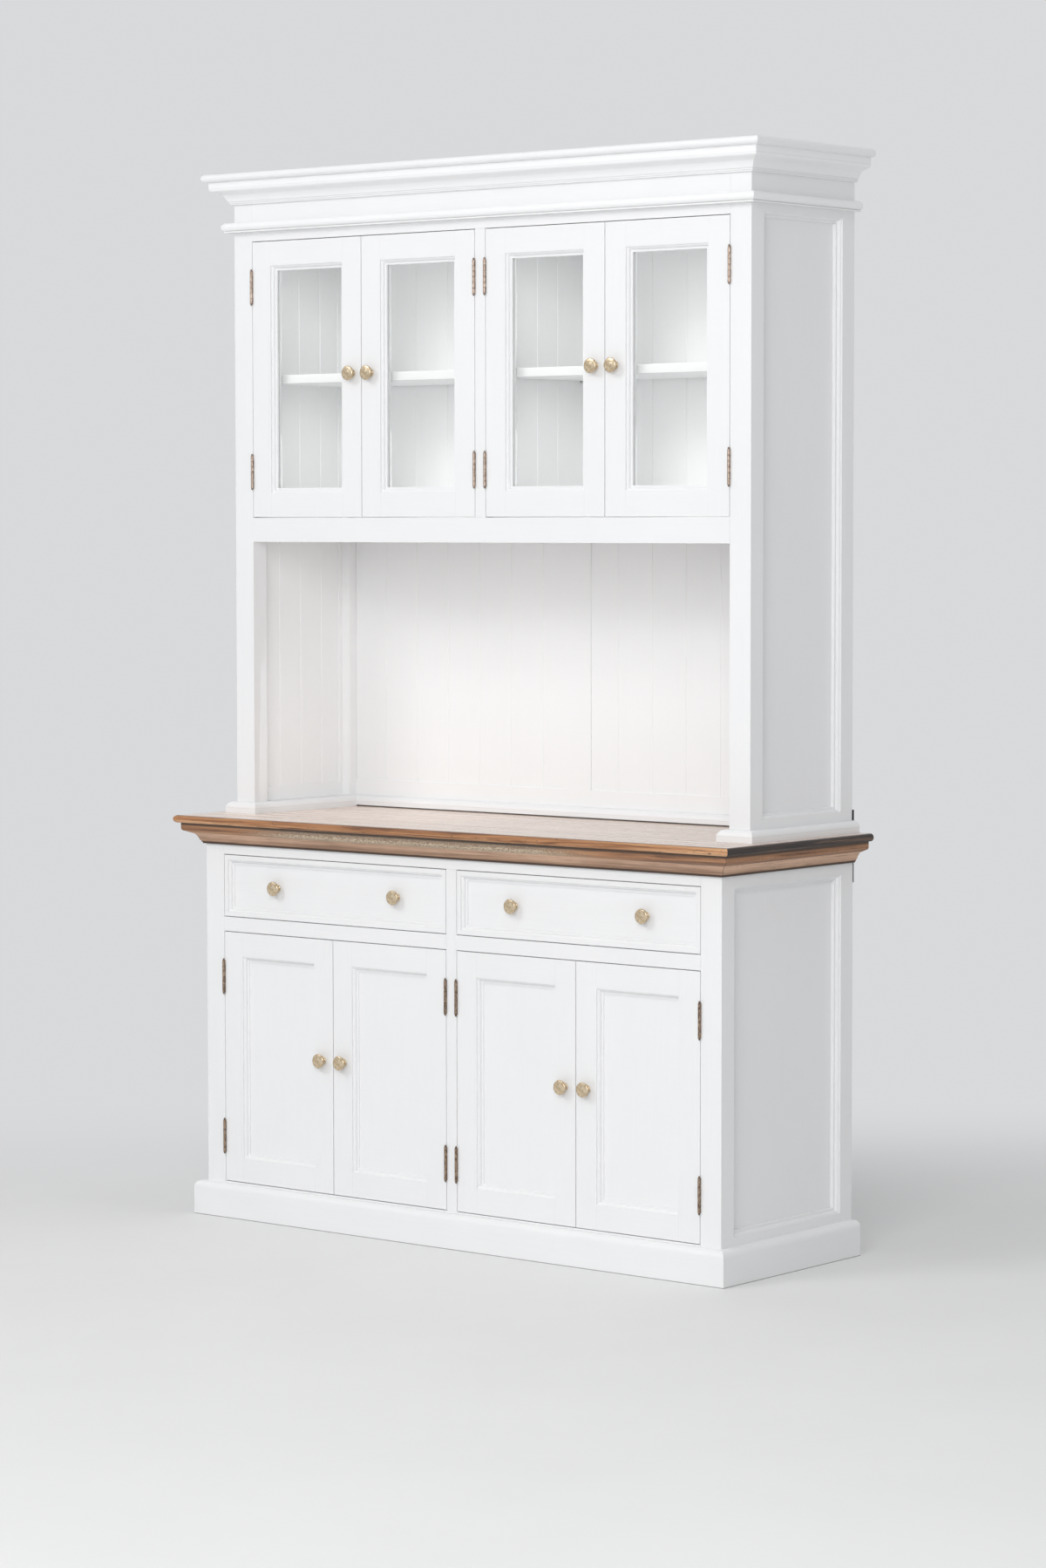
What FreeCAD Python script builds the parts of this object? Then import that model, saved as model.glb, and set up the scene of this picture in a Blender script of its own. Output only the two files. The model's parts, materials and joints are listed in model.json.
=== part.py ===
import FreeCAD, Part
import math
import os
from FreeCAD import Vector

# A dresser with a hutch: a base of four panelled doors and two drawers under a wooden counter, and
# a hutch of an open niche and four glazed doors under a cornice. Lengths are in millimetres.
# X runs to the right, Y from front to back and Z up. While it is built, Y is 0 at the front of the
# base's posts; each piece is moved to the middle of the whole as it is saved.

# ---------------------------------------------------------------- driving dimensions
# The whole
width = 1454.0                  # across the rounded edges of the counter
height = 2200.0
base_height = 850.0             # floor to counter surface
base_case_depth = 440.5
hutch_case_depth = 346.5
counter_overhang = 50.0         # counter's edge beyond the base's front and sides
hutch_setback = 2.0             # hutch's sides behind the base's sides

# Posts, rails and panels of the cases
post_width = 50.0               # seen from the front
post_depth = 41.0               # seen from the side
centre_post_width = 26.5
face_thickness = 22.0           # front rails, centre posts, doors and drawer fronts
side_rail_thickness = 30.0
side_recess = 16.0              # from a side's face to its panel
side_panel_thickness = 11.0
sticking_width = 10.0           # moulded inner edge of every frame
sticking_quirk = 3.0            # square step at the moulding's outer line
sticking_round = 5.0            # radius of the quarter round under that step
sticking_ledge = 9.5            # depth of the flat between the round and the last step
groove_depth = 8.0              # how far a panel's edge enters its frame
panel_float = 1.0               # room at the bottom of a panel's groove
edge_ease = 0.8                 # radius that takes the sharpness off painted edges

# Heights in the base
plinth_height = 71.0
plinth_thickness = 21.5
plinth_round = 13.0
floor_rise = 3.0                # cupboard floor above the plinth
base_side_bottom_height = 18.5  # side rail seen above the plinth
base_side_top_height = 23.0     # side rail seen under the counter moulding
top_rail_height = 20.5          # front rail seen under the counter moulding
drawer_opening_height = 132.5
mid_rail_height = 30.5

# Heights in the hutch
niche_height = 576.5            # counter to the underside of the niche rail
niche_rail_height = 51.0
hutch_side_bottom_height = 43.0
hutch_side_top_height = 14.5    # side rail seen under the frieze bead
frieze_height = 37.5            # from the frieze bead to the cornice
frieze_bead_rise = 20.0         # from the top of the doors' opening to the bead
frieze_bead_height = 21.0
frieze_bead_reach = 20.0
frieze_bead_fillet = 3.0        # square step under the bead's nose
frieze_bead_setback = 4.5       # the step behind the bead's nose

# Counter and cornice mouldings
board_edge = 16.0               # thickness of the counter board and of the top board
counter_moulding_height = 44.0
cornice_moulding_height = 47.0
crown_setback = 12.0            # moulding's face behind the tip of the board above it
ogee_height = 33.5              # bottom of the moulding to the start of its round
ogee_round_reach = 6.0
ogee_round_drop = 7.0
ogee_neck_reach = 17.5          # where the round runs into the cove
ogee_neck_height = 20.5
cove_foot_height = 6.5
cove_start_reach = 9.5          # where the cove starts over its foot
cove_foot_reach = 7.5
lip_reach = 5.5                 # last small step
lip_height = 3.0

# Moulding round the foot of the hutch
foot_height = 24.0
foot_reach = 18.0
foot_square = 11.0              # height of its upright face
foot_top_reach = 2.5            # how far its top stands out
foot_gap = 3.0                  # under the length at the back of the niche

# Boards inside
board_thickness = 18.0
back_thickness = 21.0           # frame round the back's panels
back_muntin_width = 56.0
back_bottom_rail = 59.0
back_top_rail = 64.0
back_board_thickness = 12.0
back_board_setback = 3.0        # tongued boards behind the face of their frame
back_board_width = 87.5
tongue_length = 5.0
tongue_thickness = 4.0
tongue_clearance = 0.2
v_groove = 1.3                  # depth of the V where two boards meet
groove_pitch = 66.5             # V grooves in the hutch's side panels and partition
base_back_panel_thickness = 9.0

# Doors
door_gap = 1.5                  # round the doors and the drawer fronts
meeting_gap = 2.0               # between the two doors of a pair
door_stile = 51.0
door_recess = 12.0
door_panel_thickness = 6.0
glass_recess = 14.0
glass_thickness = 3.0
glass_rebate = 8.0              # how far the glass laps the frame
glass_clearance = 0.5

# Hinges
hinge_height = 68.0             # its barrel, without the tips of the pin
hinge_inset = 61.0              # from a door's end to the barrel
hinge_leaf_thickness = 1.5
hinge_leaf_depth = 16.0
knuckle_radius = 2.85
knuckle_count = 6
knuckle_gap = 0.3
axis_forward = 3.2              # pin's axis in front of the door's face
pin_radius = 1.2
pin_clearance = 0.05
pin_tip_radius = 1.8
pin_tip_height = 4.0
hinge_screws = 3                # in each leaf
hinge_screw_radius = 1.4
hinge_screw_head = 2.6
hinge_screw_length = 9.5

# Knobs
knob_radius = 15.0
knob_base_radius = 8.5
knob_neck_radius = 4.5
knob_projection = 18.5
knob_disc = 4.5                 # thickness of the disc at its rim
knob_dome = 1.0                 # rise of its turned face
knob_edge = 0.8                 # bevel of the disc's rim
knob_base_height = 2.0
knob_screw_radius = 2.0
knob_screw_head_radius = 4.5
knob_screw_head_height = 2.4
knob_screw_bite = 11.0          # length of the screw inside the knob
knob_screw_clearance = 0.1
base_knob_inset = 27.5          # from a door's free edge
base_knob_rise = 13.0           # above the middle of the door
hutch_knob_inset = 24.0
hutch_knob_rise = 8.0
drawer_knob_spacing = 330.0

# Drawers
drawer_side_thickness = 12.0
drawer_bottom_thickness = 6.0
drawer_bottom_rise = 10.0       # bottom board above the lower edge of the sides
drawer_groove = 5.0
drawer_side_height = 100.0
drawer_length = 380.0
drawer_lift = 3.5               # sides above the lower edge of the front
drawer_side_clearance = 2.0     # between the opening and the drawer's side
drawer_border = 10.0            # flat border round the front's moulding
running_gap = 0.4
kicker_gap = 1.0                # over the drawer's sides
runner_width = 20.0
runner_height = 20.0
guide_height = 25.0

# Shelves, pins, catches and straps
base_shelf_height = 340.0       # underside of the shelf above the floor
hutch_shelf_rise = 333.5        # underside of the shelf above the niche's ceiling rail
shelf_setback = 12.0            # behind the doors
shelf_clearance = 1.0
shelf_pin_radius = 2.5
shelf_pin_in = 12.0
shelf_pin_out = 8.0
shelf_pin_setback = 8.0         # from a shelf's front or back edge
catch_width = 40.0
catch_depth = 14.0
catch_height = 14.0
catch_gap = 0.6
strap_width = 38.0
strap_thickness = 3.0
strap_foot_length = 100.0       # below the counter's surface
strap_head_length = 45.0        # above it
strap_screw_radius = 2.2
strap_screw_head = 4.2
strap_screw_length = 18.0
strap_screw_inset = 12.0
strap_screw_spacing = 20.0

cut_margin = 1.0                # how far a cutting solid runs past what it cuts

# ---------------------------------------------------------------- places that follow from them
base_half = width / 2 - counter_overhang
hutch_half = base_half - hutch_setback
hutch_front = base_case_depth - hutch_case_depth
cornice_overhang = counter_overhang
counter_bottom = base_height - board_edge
counter_moulding_bottom = counter_bottom - counter_moulding_height
top_board_bottom = height - board_edge
cornice_bottom = top_board_bottom - cornice_moulding_height

cupboard_floor = plinth_height + floor_rise
drawer_opening_top = counter_moulding_bottom - top_rail_height
drawer_opening_bottom = drawer_opening_top - drawer_opening_height
cupboard_top = drawer_opening_bottom - mid_rail_height
niche_top = base_height + niche_height
cabinet_floor = niche_top + niche_rail_height
frieze_bead_bottom = cornice_bottom - frieze_height - frieze_bead_height
cabinet_top = frieze_bead_bottom - frieze_bead_rise

base_opening_half = base_half - post_width
hutch_opening_half = hutch_half - post_width
centre_half = centre_post_width / 2
partition_half = board_thickness / 2
back_face = base_case_depth - back_thickness
back_board_face = back_face + back_board_setback
hutch_panel_inside = hutch_half - side_recess - side_panel_thickness

drawer_floor = drawer_opening_bottom + door_gap + drawer_lift
drawer_ceiling = drawer_floor + drawer_side_height
centre_y = (base_case_depth + strap_thickness - counter_overhang) / 2

# Rise of an arc over its chord, as a share of the chord, to the left of the way it is drawn
HOLLOW = 0.2071                 # a quarter circle
SHALLOW_HOLLOW = 0.06
CONVEX = -HOLLOW
HALF_ROUND = -0.5
UP = Vector(0, 0, 1)


# ---------------------------------------------------------------- helpers
def box(x0, x1, y0, y1, z0, z1):
    return Part.makeBox(x1 - x0, y1 - y0, z1 - z0, Vector(x0, y0, z0))


def eased_box(x0, x1, y0, y1, z0, z1, axis):
    """A board whose four long edges, along axis, are taken off."""
    board = box(x0, x1, y0, y1, z0, z1)
    long_edges = [e for e in board.Edges if abs(e.tangentAt(e.FirstParameter).dot(axis)) > 0.9]
    return board.makeFillet(edge_ease, long_edges)


def mirrored(shape):
    return shape.mirror(Vector(0, 0, 0), Vector(1, 0, 0))


def both_sides(pieces):
    return pieces + [mirrored(piece) for piece in pieces]


def outline(place, points):
    """A closed wire through points (a, b) or, where an arc arrives, (a, b, bulge)."""
    edges = []
    for start, end in zip(points, points[1:] + points[:1]):
        a, b = place(*start[:2]), place(*end[:2])
        if len(end) == 3:
            da, db = end[0] - start[0], end[1] - start[1]
            middle = place((start[0] + end[0]) / 2 - end[2] * db, (start[1] + end[1]) / 2 + end[2] * da)
            edges.append(Part.Arc(a, middle, b).toShape())
        else:
            edges.append(Part.makeLine(a, b))
    return Part.Wire(edges)


def prism(place, points, sweep):
    return Part.Face(outline(place, points)).extrude(sweep)


def plan_prism(points, z0, z1):
    return prism(lambda x, y: Vector(x, y, z0), points, UP * (z1 - z0))


def moulding_run(path, section, reach, z0, z1):
    """Mitred lengths of a moulding on the right of a path of square turns, one solid a length."""
    corners = [Vector(x, y, 0) for x, y in path]
    ways = [(b - a).normalize() for a, b in zip(corners, corners[1:])]
    outs = [Vector(way.y, -way.x, 0) for way in ways]
    reaches = [outs[0]] + [a + b for a, b in zip(outs, outs[1:])] + [outs[-1]]
    lengths = []
    for i, way in enumerate(ways):
        start, end, out = corners[i], corners[i + 1], outs[i]
        first = start - way * reach
        bar = prism(lambda t, z: first + out * t + UP * z, section,
                    way * ((end - start).Length + 2 * reach))
        near, far = start + reaches[i] * reach, end + reaches[i + 1] * reach
        mitre = plan_prism([(p.x, p.y) for p in (start, end, far, near)], z0, z1)
        lengths.append(bar.common(mitre).Solids[0])
    return lengths


def three_sides(half, front):
    """The path round the left side, the front and the right side of a case."""
    return [(-half, base_case_depth), (-half, front), (half, front), (half, base_case_depth)]


# ---------------------------------------------------------------- frames with a moulded inner edge
# They are made facing -Y with their face at y = 0, then turned or moved to where they belong.
def sticking(low, high, through):
    """Section of a framed opening from low to high, narrowing as it goes in to through."""
    inner = sticking_quirk + sticking_round
    left = [(low, -cut_margin), (low, sticking_quirk), (low + sticking_round, inner, CONVEX),
            (low + sticking_round, sticking_ledge), (low + sticking_width, sticking_ledge),
            (low + sticking_width, through)]
    right = [(high - sticking_width, through), (high - sticking_width, sticking_ledge),
             (high - sticking_round, sticking_ledge), (high - sticking_round, inner),
             (high, sticking_quirk, CONVEX), (high, -cut_margin)]
    return left + right


def moulded_opening(x0, x1, z0, z1, through):
    across = prism(lambda x, y: Vector(x, y, z0), sticking(x0, x1, through), UP * (z1 - z0))
    upright = prism(lambda z, y: Vector(x0, y, z), sticking(z0, z1, through), Vector(x1 - x0, 0, 0))
    return across.common(upright)


class Frame:
    """Two stiles and two rails round an opening, mitred where their mouldings meet."""

    def __init__(self, x0, x1, z0, z1, stile, bottom, top, thickness):
        self.outer = (x0, x1, z0, z1)
        self.opening = (x0 + stile, x1 - stile, z0 + bottom, z1 - top)
        self.thickness = thickness
        blank = box(x0, x1, 0, thickness, z0, z1)
        face_edges = [e for e in blank.Edges if max(v.Y for v in e.Vertexes) == 0]
        self.ring = blank.makeFillet(edge_ease, face_edges)
        self.ring = self.ring.cut(moulded_opening(*self.opening, thickness + cut_margin))

    def sight(self, lap):
        """The clear opening's corners, widened by lap on every side."""
        x0, x1, z0, z1 = self.opening
        inset = sticking_width - lap
        return x0 + inset, x1 - inset, z0 + inset, z1 - inset

    def hollow(self, lap, y0, y1):
        """Ploughs a groove or a rebate round the clear opening."""
        x0, x1, z0, z1 = self.sight(lap)
        self.ring = self.ring.cut(box(x0, x1, y0, y1, z0, z1))

    def filling(self, lap, y0, y1):
        x0, x1, z0, z1 = self.sight(lap)
        return box(x0, x1, y0, y1, z0, z1)

    def members(self):
        """Left stile, right stile, bottom rail and top rail."""
        x0, x1, z0, z1 = self.outer
        a, b, c, d = self.opening
        s = sticking_width
        plans = [
            [(x0, z0), (a, z0), (a, c), (a + s, c + s), (a + s, d - s), (a, d), (a, z1), (x0, z1)],
            [(x1, z0), (x1, z1), (b, z1), (b, d), (b - s, d - s), (b - s, c + s), (b, c), (b, z0)],
            [(a, z0), (b, z0), (b, c), (b - s, c + s), (a + s, c + s), (a, c)],
            [(a, z1), (a, d), (a + s, d - s), (b - s, d - s), (b, d), (b, z1)],
        ]
        sweep = Vector(0, self.thickness, 0)
        return [self.ring.common(prism(lambda x, z: Vector(x, 0, z), plan, sweep)).Solids[0]
                for plan in plans]


def side_assembly(half, front, z0, z1, bottom, top, grooves):
    """Right side of a case: its front and back posts, its bottom and top rails, and its panel."""
    depth = base_case_depth - front
    frame = Frame(0, depth, z0, z1, post_depth, bottom, top, side_rail_thickness)
    panel_back = side_recess + side_panel_thickness
    frame.hollow(groove_depth, side_recess, panel_back)
    front_lip, back_lip, bottom_rail, top_rail = frame.members()
    front_post = eased_box(0, post_depth, 0, post_width, z0, z1, UP).fuse(front_lip)
    back_post = eased_box(depth - post_depth, depth, 0, post_width, z0, z1, UP).fuse(back_lip)
    panel = frame.filling(groove_depth - panel_float, side_recess, panel_back)
    for u in grooves:
        panel = panel.cut(v_cut(u, panel_back, z0, z1))
    posts = [front_post.removeSplitter(), back_post.removeSplitter()]
    rails = [bottom_rail, top_rail]
    for piece in posts + rails + [panel]:
        piece.rotate(Vector(0, 0, 0), UP, 90)
        piece.translate(Vector(half, front, 0))
    return posts, rails, panel


def v_cut(x, y, z0, z1, way=-1):
    """The V of a groove at x in the face at y, cut towards way along Y."""
    return plan_prism([(x - v_groove, y), (x, y + way * v_groove), (x + v_groove, y)], z0, z1)


def groove_places(low, high):
    middle = (low + high) / 2
    reach = int((high - low) / 2 / groove_pitch - 0.2)
    return [middle + i * groove_pitch for i in range(-reach, reach + 1)]


# ---------------------------------------------------------------- hinges, knobs and screws
def countersunk(point, way, shank, head, sink, length):
    """A screw whose head fills sink at point, driven along way."""
    cone = Part.makeCone(head, shank, sink, point, way)
    return cone.fuse(Part.makeCylinder(shank, length, point + way * sink, way)).removeSplitter()


def hinge(axis_x, face_y, z0, side):
    """One butt hinge; the door is on the given side of the pin. Returns its groups of pieces."""
    axis_y = face_y - axis_forward
    knuckle = (hinge_height - (knuckle_count - 1) * knuckle_gap) / knuckle_count
    bore = Part.makeCylinder(pin_radius + pin_clearance, hinge_height, Vector(axis_x, axis_y, z0))
    groups = []
    for turn, way in ((0, -side), (1, side)):
        near = axis_x + way * door_gap / 2
        far = near + way * hinge_leaf_thickness
        x0, x1 = sorted((near, far))
        plate = box(x0, x1, face_y, face_y + hinge_leaf_depth, z0, z0 + hinge_height)
        arms = []
        for i in range(turn, knuckle_count, 2):
            low = z0 + i * (knuckle + knuckle_gap)
            arms.append(Part.makeCylinder(knuckle_radius, knuckle, Vector(axis_x, axis_y, low)))
            arms.append(box(x0, x1, axis_y, face_y, low, low + knuckle))
        screws = []
        for i in range(hinge_screws):
            place = Vector(near, face_y + hinge_leaf_depth / 2,
                           z0 + hinge_height * (i + 0.5) / hinge_screws)
            screws.append(countersunk(place, Vector(way, 0, 0), hinge_screw_radius,
                                      hinge_screw_head, hinge_leaf_thickness, hinge_screw_length))
        leaf = plate.fuse(arms).cut(bore).cut(screws).removeSplitter()
        groups.append({"leaf": leaf, "screws": screws, "mortise": [plate] + screws})
    fixed, moving = groups
    top = hinge_height + knuckle_gap
    r, end = pin_tip_radius, pin_tip_height
    turned = [(0, -end), (r, r - end, CONVEX), (r, 0), (0, 0)]
    section = Part.Face(outline(lambda a, b: Vector(axis_x + a, axis_y, z0 + b), turned))
    tip = section.revolve(Vector(axis_x, axis_y, 0), UP, 360)
    shank = Part.makeCylinder(pin_radius, top, Vector(axis_x, axis_y, z0))
    pin = shank.fuse([tip, tip.mirror(Vector(0, 0, z0 + top / 2), UP)]).removeSplitter()
    return fixed, moving, pin


def knob(x, y, z, wood):
    """A turned knob on the face at y and the screw that holds it through the wood."""
    rim = knob_projection - knob_dome
    back = rim - knob_disc
    waist = (knob_base_height + back) / 2
    edge = knob_edge
    dome = -math.tan(math.atan2(knob_dome, knob_radius - edge) / 2) / 2
    turned = [(0, 0), (knob_base_radius, 0), (knob_base_radius, knob_base_height),
              (knob_neck_radius, waist, HOLLOW), (knob_radius - edge, back, HOLLOW),
              (knob_radius, back + edge, CONVEX), (knob_radius, rim - edge),
              (knob_radius - edge, rim, CONVEX), (0, knob_projection, dome)]
    section = Part.Face(outline(lambda r, p: Vector(x + r, y - p, z), turned))
    body = section.revolve(Vector(x, y, z), Vector(0, 1, 0), 360)
    bore = Part.makeCylinder(knob_screw_radius + knob_screw_clearance, knob_screw_bite,
                             Vector(x, y, z), Vector(0, -1, 0))
    shank = Part.makeCylinder(knob_screw_radius, knob_screw_bite + wood,
                              Vector(x, y - knob_screw_bite, z), Vector(0, 1, 0))
    head = Part.makeCylinder(knob_screw_head_radius, knob_screw_head_height,
                             Vector(x, y + wood, z), Vector(0, 1, 0))
    hole = Part.makeCylinder(knob_screw_radius + knob_screw_clearance, wood,
                             Vector(x, y, z), Vector(0, 1, 0))
    return [body.cut(bore), shank.fuse(head).removeSplitter()], hole


# ---------------------------------------------------------------- doors
def door_leaves(opening_half):
    """Name, left edge, right edge and the side of the hinge, for four doors in a row."""
    outer, inner = opening_half - door_gap, centre_half + door_gap
    leaf = (outer - inner - meeting_gap) / 2
    return [("left_outer", -outer, leaf - outer, -1), ("left_inner", -inner - leaf, -inner, 1),
            ("right_inner", inner, inner + leaf, -1), ("right_outer", outer - leaf, outer, 1)]


def hinges_of(x0, x1, z0, z1, face_y, hinge_side):
    axis_x = x1 + door_gap / 2 if hinge_side > 0 else x0 - door_gap / 2
    heights = (z0 + hinge_inset, z1 - hinge_inset - hinge_height)
    return [hinge(axis_x, face_y, low, -hinge_side) for low in heights]


def door(kind, name, x0, x1, z0, z1, face_y, hinge_side, knob_inset, knob_rise):
    """Every node of one door, and the fixed halves of its hinges."""
    frame = Frame(x0, x1, z0, z1, door_stile, door_stile, door_stile, face_thickness)
    beads = []
    if kind == "glass":
        glass_back = glass_recess + glass_thickness
        frame.hollow(glass_rebate, glass_recess, face_thickness + cut_margin)
        pane = frame.filling(glass_rebate - glass_clearance, glass_recess, glass_back)
        a, b, c, d = frame.sight(glass_rebate)
        r = glass_rebate
        for plan in ([(a, c), (b, c), (b - r, c + r), (a + r, c + r)],
                     [(a, d), (a + r, d - r), (b - r, d - r), (b, d)],
                     [(a, c), (a + r, c + r), (a + r, d - r), (a, d)],
                     [(b, c), (b, d), (b - r, d - r), (b - r, c + r)]):
            beads.append(prism(lambda x, z: Vector(x, glass_back, z), plan,
                               Vector(0, face_thickness - glass_back, 0)))
    else:
        panel_back = door_recess + door_panel_thickness
        frame.hollow(groove_depth, door_recess, panel_back)
        pane = frame.filling(groove_depth - panel_float, door_recess, panel_back)
    pieces = frame.members() + beads + [pane]
    for piece in pieces:
        piece.translate(Vector(0, face_y, 0))
    pane = pieces.pop()
    hinges = hinges_of(x0, x1, z0, z1, face_y, hinge_side)
    knob_x = x0 + knob_inset if hinge_side > 0 else x1 - knob_inset
    knob_pieces, hole = knob(knob_x, face_y, (z0 + z1) / 2 + knob_rise, face_thickness)
    hung, free = (1, 0) if hinge_side > 0 else (0, 1)
    for fixed, moving, pin in hinges:
        pieces[hung] = pieces[hung].cut(moving["mortise"])
    pieces[free] = pieces[free].cut(hole)
    stem = f"{kind}_door_{name}"
    nodes = {
        f"{stem}_frame": pieces,
        f"{stem}_{'pane' if kind == 'glass' else 'centre'}": [pane],
        f"{stem}_knob": knob_pieces,
        f"{stem}_hinge_leaves": [p for _, moving, _ in hinges for p in [moving["leaf"]] + moving["screws"]],
    }
    return nodes, [(fixed, pin) for fixed, _, pin in hinges]


# ---------------------------------------------------------------- drawers
def drawer(name, sign):
    """Front, box and knobs of one drawer; sign is -1 on the left and 1 on the right."""
    inner, outer = centre_half + door_gap, base_opening_half - door_gap
    z0, z1 = drawer_opening_bottom + door_gap, drawer_opening_top - door_gap
    blank = box(inner, outer, 0, face_thickness, z0, z1)
    blank = blank.makeFillet(edge_ease, [e for e in blank.Edges if max(v.Y for v in e.Vertexes) == 0])
    b = drawer_border
    front = blank.cut(moulded_opening(inner + b, outer - b, z0 + b, z1 - b, door_recess))

    left, right = centre_half + drawer_side_clearance, base_opening_half - drawer_side_clearance
    t, g = drawer_side_thickness, drawer_groove
    back = face_thickness + drawer_length
    bottom_low = drawer_floor + drawer_bottom_rise
    bottom = box(left + t - g, right - t + g, face_thickness - g, back - t + g,
                 bottom_low, bottom_low + drawer_bottom_thickness)
    sides = [box(x, x + t, face_thickness, back, drawer_floor, drawer_ceiling) for x in (left, right - t)]
    end = box(left + t, right - t, back - t, back, drawer_floor, drawer_ceiling)
    walls = [piece.cut(bottom) for piece in sides + [end]]
    front = front.cut(bottom)

    middle, height_z = (inner + outer) / 2, (z0 + z1) / 2
    knobs = []
    for x in (middle - drawer_knob_spacing / 2, middle + drawer_knob_spacing / 2):
        pieces, hole = knob(x, door_recess, height_z, face_thickness - door_recess)
        knobs += pieces
        front = front.cut(hole)
    nodes = {f"{name}_drawer_front": [front], f"{name}_drawer_box": walls + [bottom],
             f"{name}_drawer_knobs": knobs}
    if sign < 0:
        nodes = {node: [mirrored(piece) for piece in pieces] for node, pieces in nodes.items()}
    return nodes


def drawer_runners():
    """Runner, guide and kicker on both sides of each drawer."""
    front_end, back_end = post_depth, base_case_depth - post_depth
    outer_wall = base_opening_half + runner_width
    left, right = centre_half + drawer_side_clearance, base_opening_half - drawer_side_clearance
    bearing = drawer_floor - running_gap
    ceiling = drawer_ceiling + kicker_gap
    t = drawer_side_thickness
    pieces = []
    for x0, x1, g0, g1, y0, y1 in (
            (right - t, outer_wall, right + running_gap, outer_wall, front_end, back_end),
            (partition_half, left + t, partition_half, left - running_gap, face_thickness, back_face)):
        pieces.append(box(x0, x1, y0, y1, bearing - runner_height, bearing))
        pieces.append(box(g0, g1, y0, y1, bearing, bearing + guide_height))
        pieces.append(box(x0, x1, y0, y1, ceiling, ceiling + runner_height))
    return both_sides(pieces)


# ---------------------------------------------------------------- boards and mouldings
def rounded_board(half, front, reach, z0):
    """A board over a case, with a half-round edge at the front and both sides."""
    r = board_edge / 2
    edge = [(0, z0), (reach - r, z0), (reach - r, z0 + board_edge, HALF_ROUND), (0, z0 + board_edge)]
    core = box(-half, half, front, base_case_depth, z0, z0 + board_edge)
    edges = moulding_run(three_sides(half, front), edge, reach, z0, z0 + board_edge)
    return core.fuse(edges).removeSplitter()


def crown_moulding(half, front, reach, z0, rise):
    """The ogee and cove under the counter board and under the top board."""
    face = reach - crown_setback
    start = z0 + ogee_height
    section = [(0, z0), (lip_reach, z0), (lip_reach, z0 + lip_height),
               (cove_foot_reach, z0 + lip_height), (cove_foot_reach, z0 + cove_foot_height),
               (cove_start_reach, z0 + cove_foot_height),
               (ogee_neck_reach, z0 + ogee_neck_height, SHALLOW_HOLLOW),
               (face - ogee_round_reach, start - ogee_round_drop), (face, start, CONVEX),
               (face, z0 + rise), (0, z0 + rise)]
    return moulding_run(three_sides(half, front), section, reach, z0, z0 + rise)


def frieze_bead():
    z0, z1 = frieze_bead_bottom, frieze_bead_bottom + frieze_bead_height
    low = z0 + frieze_bead_fillet
    r = (z1 - low) / 2
    nose = frieze_bead_reach - r
    square = frieze_bead_reach - frieze_bead_setback
    section = [(0, z0), (square, z0), (square, low), (nose, low), (nose, z1, HALF_ROUND), (0, z1)]
    return moulding_run(three_sides(hutch_half, hutch_front), section, frieze_bead_reach, z0, z1)


def plinth():
    r = plinth_round
    section = [(0, 0), (plinth_thickness, 0), (plinth_thickness, plinth_height - r),
               (plinth_thickness - r, plinth_height, CONVEX), (0, plinth_height)]
    return moulding_run(three_sides(base_half, 0), section, plinth_thickness, 0, plinth_height)


def foot_moulding():
    """Round the outside of the hutch's sides, their front ends and the inside of the niche."""
    z0, z1 = base_height, base_height + foot_height
    section = [(0, z0), (foot_reach, z0), (foot_reach, z0 + foot_square),
               (foot_top_reach, z1, CONVEX), (0, z1)]
    a, b = hutch_half, hutch_opening_half
    path = [(-a, base_case_depth), (-a, hutch_front), (-b, hutch_front), (-b, back_face),
            (b, back_face), (b, hutch_front), (a, hutch_front), (a, base_case_depth)]
    lengths = moulding_run(path, section, foot_reach, z0, z1)
    back = path.index((-b, back_face))
    lengths[back] = lengths[back].cut(box(-a, a, hutch_front, base_case_depth, z0, z0 + foot_gap))
    packing = box(b, hutch_half - side_rail_thickness, hutch_front + post_depth,
                  base_case_depth - post_depth, z0, z1)
    return lengths + both_sides([packing])


def tongued_board(x0, x1, z0, z1, way):
    """One board of the hutch's back, its tongue towards way along X and a groove behind it."""
    y0, y1 = back_board_face, back_board_face + back_board_thickness
    v, mid = v_groove, (y0 + y1) / 2
    slack = tongue_clearance
    half_tongue, half_slot = tongue_thickness / 2 - slack, tongue_thickness / 2
    plan = [(x0, y0 + v), (x0 + v, y0), (x1 - v, y0), (x1, y0 + v), (x1, mid - half_tongue),
            (x1 + tongue_length, mid - half_tongue), (x1 + tongue_length, mid + half_tongue),
            (x1, mid + half_tongue), (x1, y1), (x0, y1), (x0, mid + half_slot),
            (x0 + tongue_length + slack, mid + half_slot), (x0 + tongue_length + slack, mid - half_slot),
            (x0, mid - half_slot)]
    if way < 0:
        plan = [(x0 + x1 - x, y) for x, y in plan]
    return plan_prism(plan, z0, z1)


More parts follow.
